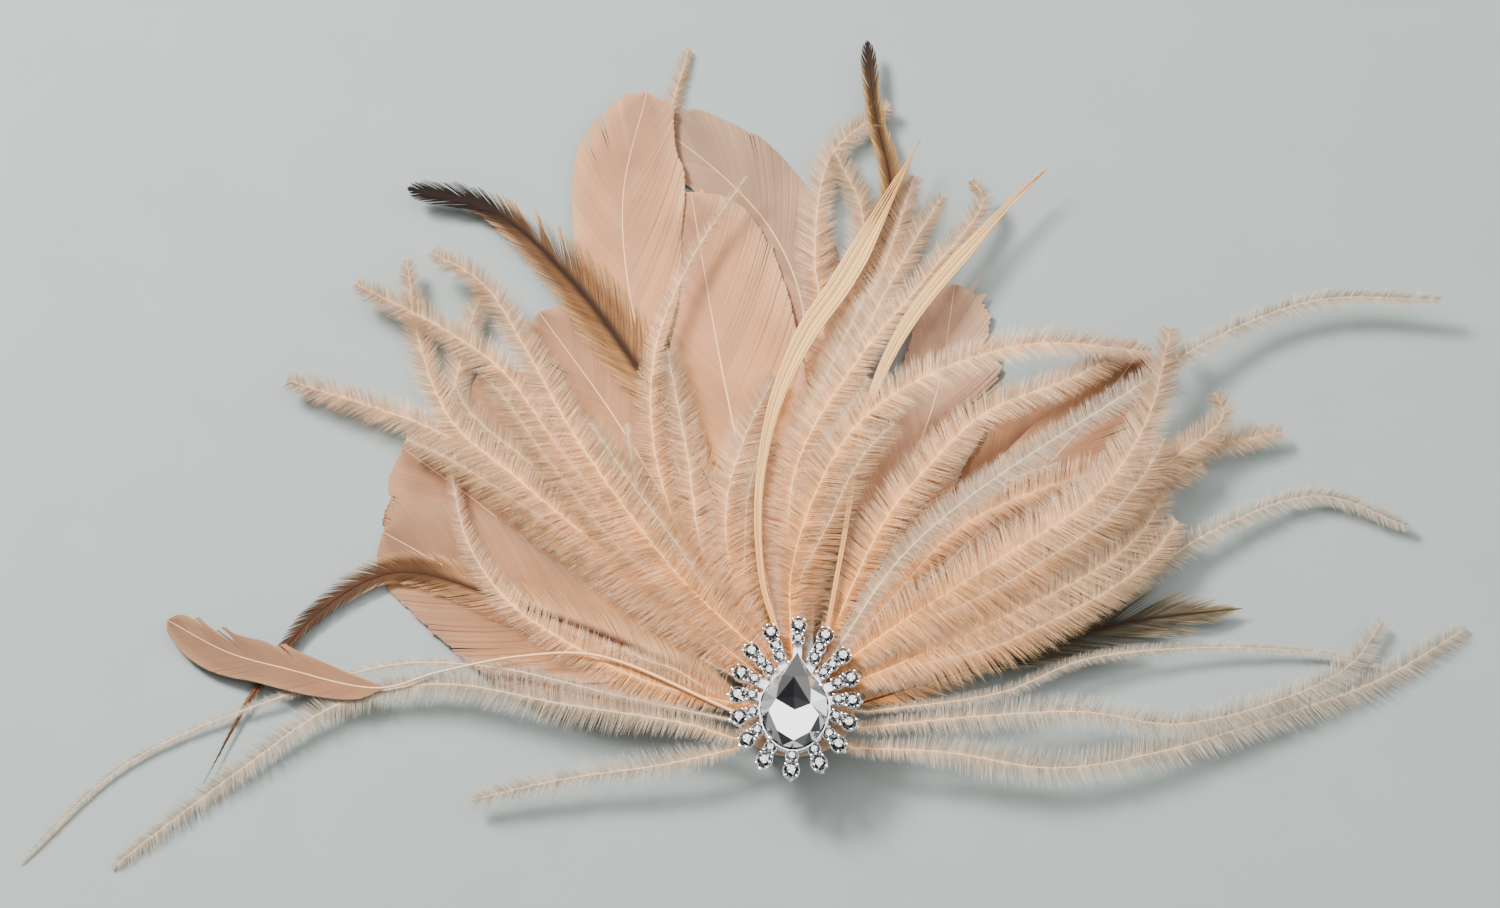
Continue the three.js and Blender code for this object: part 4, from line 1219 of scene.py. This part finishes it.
def small_stones():
    chooser = np.random.default_rng(STONE_SEED)
    points = []
    faces = []
    painted_reflections = []
    for stone in ray_stones():
        own_points, own_faces = brilliant(*stone)
        faces += [tuple(len(points) + corner for corner in face) for face in own_faces]
        points += own_points
        # Each stone's facets get painted reflections from the star pattern, turned by a random step and
        # dimmed at random
        star = np.roll(np.tile(STAR_PAINTED_REFLECTIONS, (STAR_POINTS, 1)), chooser.integers(2), axis=0)
        star = np.append(star, np.full(len(own_faces) - star.size, UNDER_SHADE))
        painted_reflections += (star * chooser.uniform(1 - STAR_JITTER, 1, len(own_faces))).tolist()
    mesh = add_mesh("ray_crystals", to_brooch(points), faces, "crystal", "brooch_setting")
    write(mesh, {"facet": painted_reflections, "milk": [0.0] * len(painted_reflections)}, "FACE")


BEAD_RINGS = 4
BEAD_SIDES = 8


def bead(points, faces, x, y, z, radius):
    first = len(points)
    points.append((x, y, z - radius))
    for ring in range(1, BEAD_RINGS):
        tilt = math.pi * ring / BEAD_RINGS
        points += level(circle(x, y, radius * math.sin(tilt), BEAD_SIDES), z - radius * math.cos(tilt))
    points.append((x, y, z + radius))
    last = len(points) - 1
    for side in range(BEAD_SIDES):
        after = (side + 1) % BEAD_SIDES
        faces.append((first, first + 1 + after, first + 1 + side))
        for low in range(first + 1, last - BEAD_SIDES, BEAD_SIDES):
            high = low + BEAD_SIDES
            faces.append((low + side, low + after, high + after, high + side))
        top = last - BEAD_SIDES
        faces.append((top + side, top + after, last))


def slab(points, faces, outline):
    loft(points, faces, [level(outline, 0), level(outline, PLATE_THICKNESS)])


def ring_wall(points, faces, outer, inner, low, high):
    """A closed wall between two outlines of the same length."""
    rings = [level(outer, low), level(outer, high), level(inner, high), level(inner, low)]
    loft(points, faces, rings, looped=True)


PLATE_GROW = 0.7
RIM_WALL = 0.3
RIM_HEIGHT = 2.0
BAR_SHOULDER = 1.6
BAR_TIP = 0.4
TIP_RISE = 0.35
CUP_WALL = 0.1
CUP_SIDES = 20
CUP_BOTTOM = 0.6
CUP_DROP = 0.3
CLAW_RADIUS = 0.4
CLAW_OUT = 0.1
CLAW_RISE = 0.15
CLAWS = 4
PEAR_CLAWS = (0.12, 0.32, 0.68, 0.88)
PEAR_CLAW_RADIUS = 0.7


def brooch_setting():
    points = []
    faces = []
    low = np.array([0, -PEAR_DROP])
    slab(points, faces, pear_outline(PLATE_GROW) + low)
    ring_wall(points, faces, pear_outline(SEAT_GAP + RIM_WALL) + low, pear_outline(SEAT_GAP) + low,
              STONE_SEAT, PLATE_THICKNESS + RIM_HEIGHT)
    for ray in range(RAYS):
        turn = 2 * math.pi * ray / RAYS
        out = np.array([math.sin(turn), math.cos(turn)])
        across = np.array([out[1], -out[0]]) * RAY_WIDTH / 2
        reach = ray_reach(turn)
        start = out * RAY_START
        shoulder = out * (reach - BAR_SHOULDER)
        slab(points, faces, [shoulder - across, out * (reach - BAR_TIP), shoulder + across,
                             start + across, start - across])
        bead(points, faces, *(out * (reach - TIP_BEAD)), PLATE_THICKNESS + TIP_RISE, TIP_BEAD)
    rim = STONE_SEAT + STONE_GIRDLE
    for x, y, radius, turn in ray_stones():
        ring_wall(points, faces, circle(x, y, radius + CUP_WALL, CUP_SIDES),
                  circle(x, y, radius, CUP_SIDES), CUP_BOTTOM, rim - CUP_DROP)
        for claw in circle(x, y, radius + CLAW_OUT, CLAWS, math.pi / CLAWS - turn):
            bead(points, faces, *claw, rim + CLAW_RISE, CLAW_RADIUS)
    edge = pear_outline(SEAT_GAP + CLAW_OUT) + low
    for share in PEAR_CLAWS:
        bead(points, faces, *edge[int(share * len(edge))], PLATE_THICKNESS + RIM_HEIGHT, PEAR_CLAW_RADIUS)
    add_mesh("brooch_silver", to_brooch(points), faces, "silver", "brooch_setting")


# Felt backing and clip. The pad's profile is its width as a share and its height, and the core's is its
# growth past its radius and its height, over the pad's underside at the foot and from its top above.
FELT_STEPS = 96
FELT_PROFILE = ((0.93, 0.0), (0.985, 0.25), (1.0, 0.9), (1.0, 1.5), (0.985, 2.15), (0.93, 2.4))
CORE_FOOT = ((0.2, 2.5), (0.0, 3.2))
CORE_TOP = ((-0.1, -0.4), (-0.6, 0.0))
FELT_FUZZ = 0.12


def felt_backing():
    low, high = (np.array(corner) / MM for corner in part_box("backing_pad"))
    half_width, half_length = (high - low)[:2] / 2
    chooser = np.random.default_rng(FELT_SEED)
    turns = 2 * math.pi * np.arange(FELT_STEPS) / FELT_STEPS
    rings = []
    for share, height in FELT_PROFILE:
        wide = share + chooser.uniform(-1, 1, FELT_STEPS) * FELT_FUZZ / half_width
        rings.append((half_width * wide * np.cos(turns), half_length * wide * np.sin(turns),
                      low[2] + height))
    core = [(grow, low[2] + height) for grow, height in CORE_FOOT]
    core += [(grow, high[2] + height) for grow, height in CORE_TOP]
    for grow, height in core:
        wide = CORE_RADIUS + grow + chooser.uniform(-1, 0, FELT_STEPS) * FELT_FUZZ
        rings.append((wide * np.cos(turns), CORE_Y + wide * np.sin(turns), height))
    points = []
    faces = []
    loft(points, faces, [level(zip(x * MM, y * MM), z * MM) for x, y, z in rings])
    add_mesh("felt_backing", points, faces, "felt", "backing_pad").shade_smooth()


CLIP_BEVEL = 0.3


def hair_clip():
    shape = bmesh.new()
    shape.from_mesh(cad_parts["hair_clip"].data)
    bmesh.ops.remove_doubles(shape, verts=shape.verts, dist=1e-6)
    bmesh.ops.dissolve_limit(shape, angle_limit=math.radians(1), verts=shape.verts, edges=shape.edges)
    bmesh.ops.bevel(shape, geom=shape.edges[:], offset=CLIP_BEVEL * MM, segments=2, profile=0.5,
                    affect="EDGES")
    mesh = bpy.data.meshes.new("steel_clip")
    shape.to_mesh(mesh)
    shape.free()
    mesh.materials.append(FINISH["steel"])
    dress(add_object("steel_clip", mesh), "hair_clip")


# Stage, in metres
FLOOR_HALF = 4.0
FLOOR_LEVEL = -0.0002
SKY = {"Color": (0.96, 0.96, 0.97, 1.0), "Strength": 0.1}
MIDDLE = (0, 0.06, 0)
LAMPS = (
    dict(name="key", place=(-0.75, 0.7, 0.95), target=MIDDLE, size=0.4, power=53, colour=(1.0, 0.97, 0.93)),
    dict(name="overhead", place=(0, 0.42, 1.2), target=(0, 0, 0.02), size=1.4, power=15,
         colour=(1.0, 0.98, 0.96)),
    dict(name="fill", place=(0.95, 0.1, 0.9), target=MIDDLE, size=0.9, power=7, colour=(0.97, 0.98, 1.0)),
    dict(name="front", place=(0.1, -1.0, 0.8), target=MIDDLE, size=0.8, power=4, colour=(1.0, 0.98, 0.96)),
)
NEAREST_SEEN = 0.05


def soft_lamp(name, place, target, size, power, colour):
    data = bpy.data.lights.new(name, "AREA")
    data.shape = "DISK"
    data.size = size
    data.energy = power
    data.color = colour
    lamp = add_object(name, data)
    lamp.location = place
    lamp.rotation_euler = (Vector(target) - Vector(place)).to_track_quat("-Z", "Y").to_euler()


def stage():
    mesh = bpy.data.meshes.new("floor")
    signs = ((-1, -1), (1, -1), (1, 1), (-1, 1))
    mesh.from_pydata([(x * FLOOR_HALF, y * FLOOR_HALF, FLOOR_LEVEL) for x, y in signs], [], [(0, 1, 2, 3)])
    mesh.materials.append(FINISH["floor"])
    add_object("floor", mesh)
    world = bpy.data.worlds.new("studio")
    bpy.context.scene.world = world
    world.use_nodes = True
    for key, value in SKY.items():
        world.node_tree.nodes["Background"].inputs[key].default_value = value
    for lamp in LAMPS:
        soft_lamp(**lamp)


def camera():
    data = bpy.data.cameras.new("camera")
    data.sensor_width = SENSOR_WIDTH
    data.lens = SENSOR_WIDTH * SIGHT_DISTANCE / PICTURE_WIDTH
    data.clip_start = NEAREST_SEEN
    eye = add_object("camera", data)
    eye.location = EYE * MM
    eye.rotation_euler = (math.pi / 2 - SIGHT_ANGLE, 0, 0)
    bpy.context.scene.camera = eye


camera()
stage()
feathers()
for number, biot_row in enumerate(BIOTS, 1):
    biot(number, biot_row)
pear_stone()
small_stones()
brooch_setting()
felt_backing()
hair_clip()
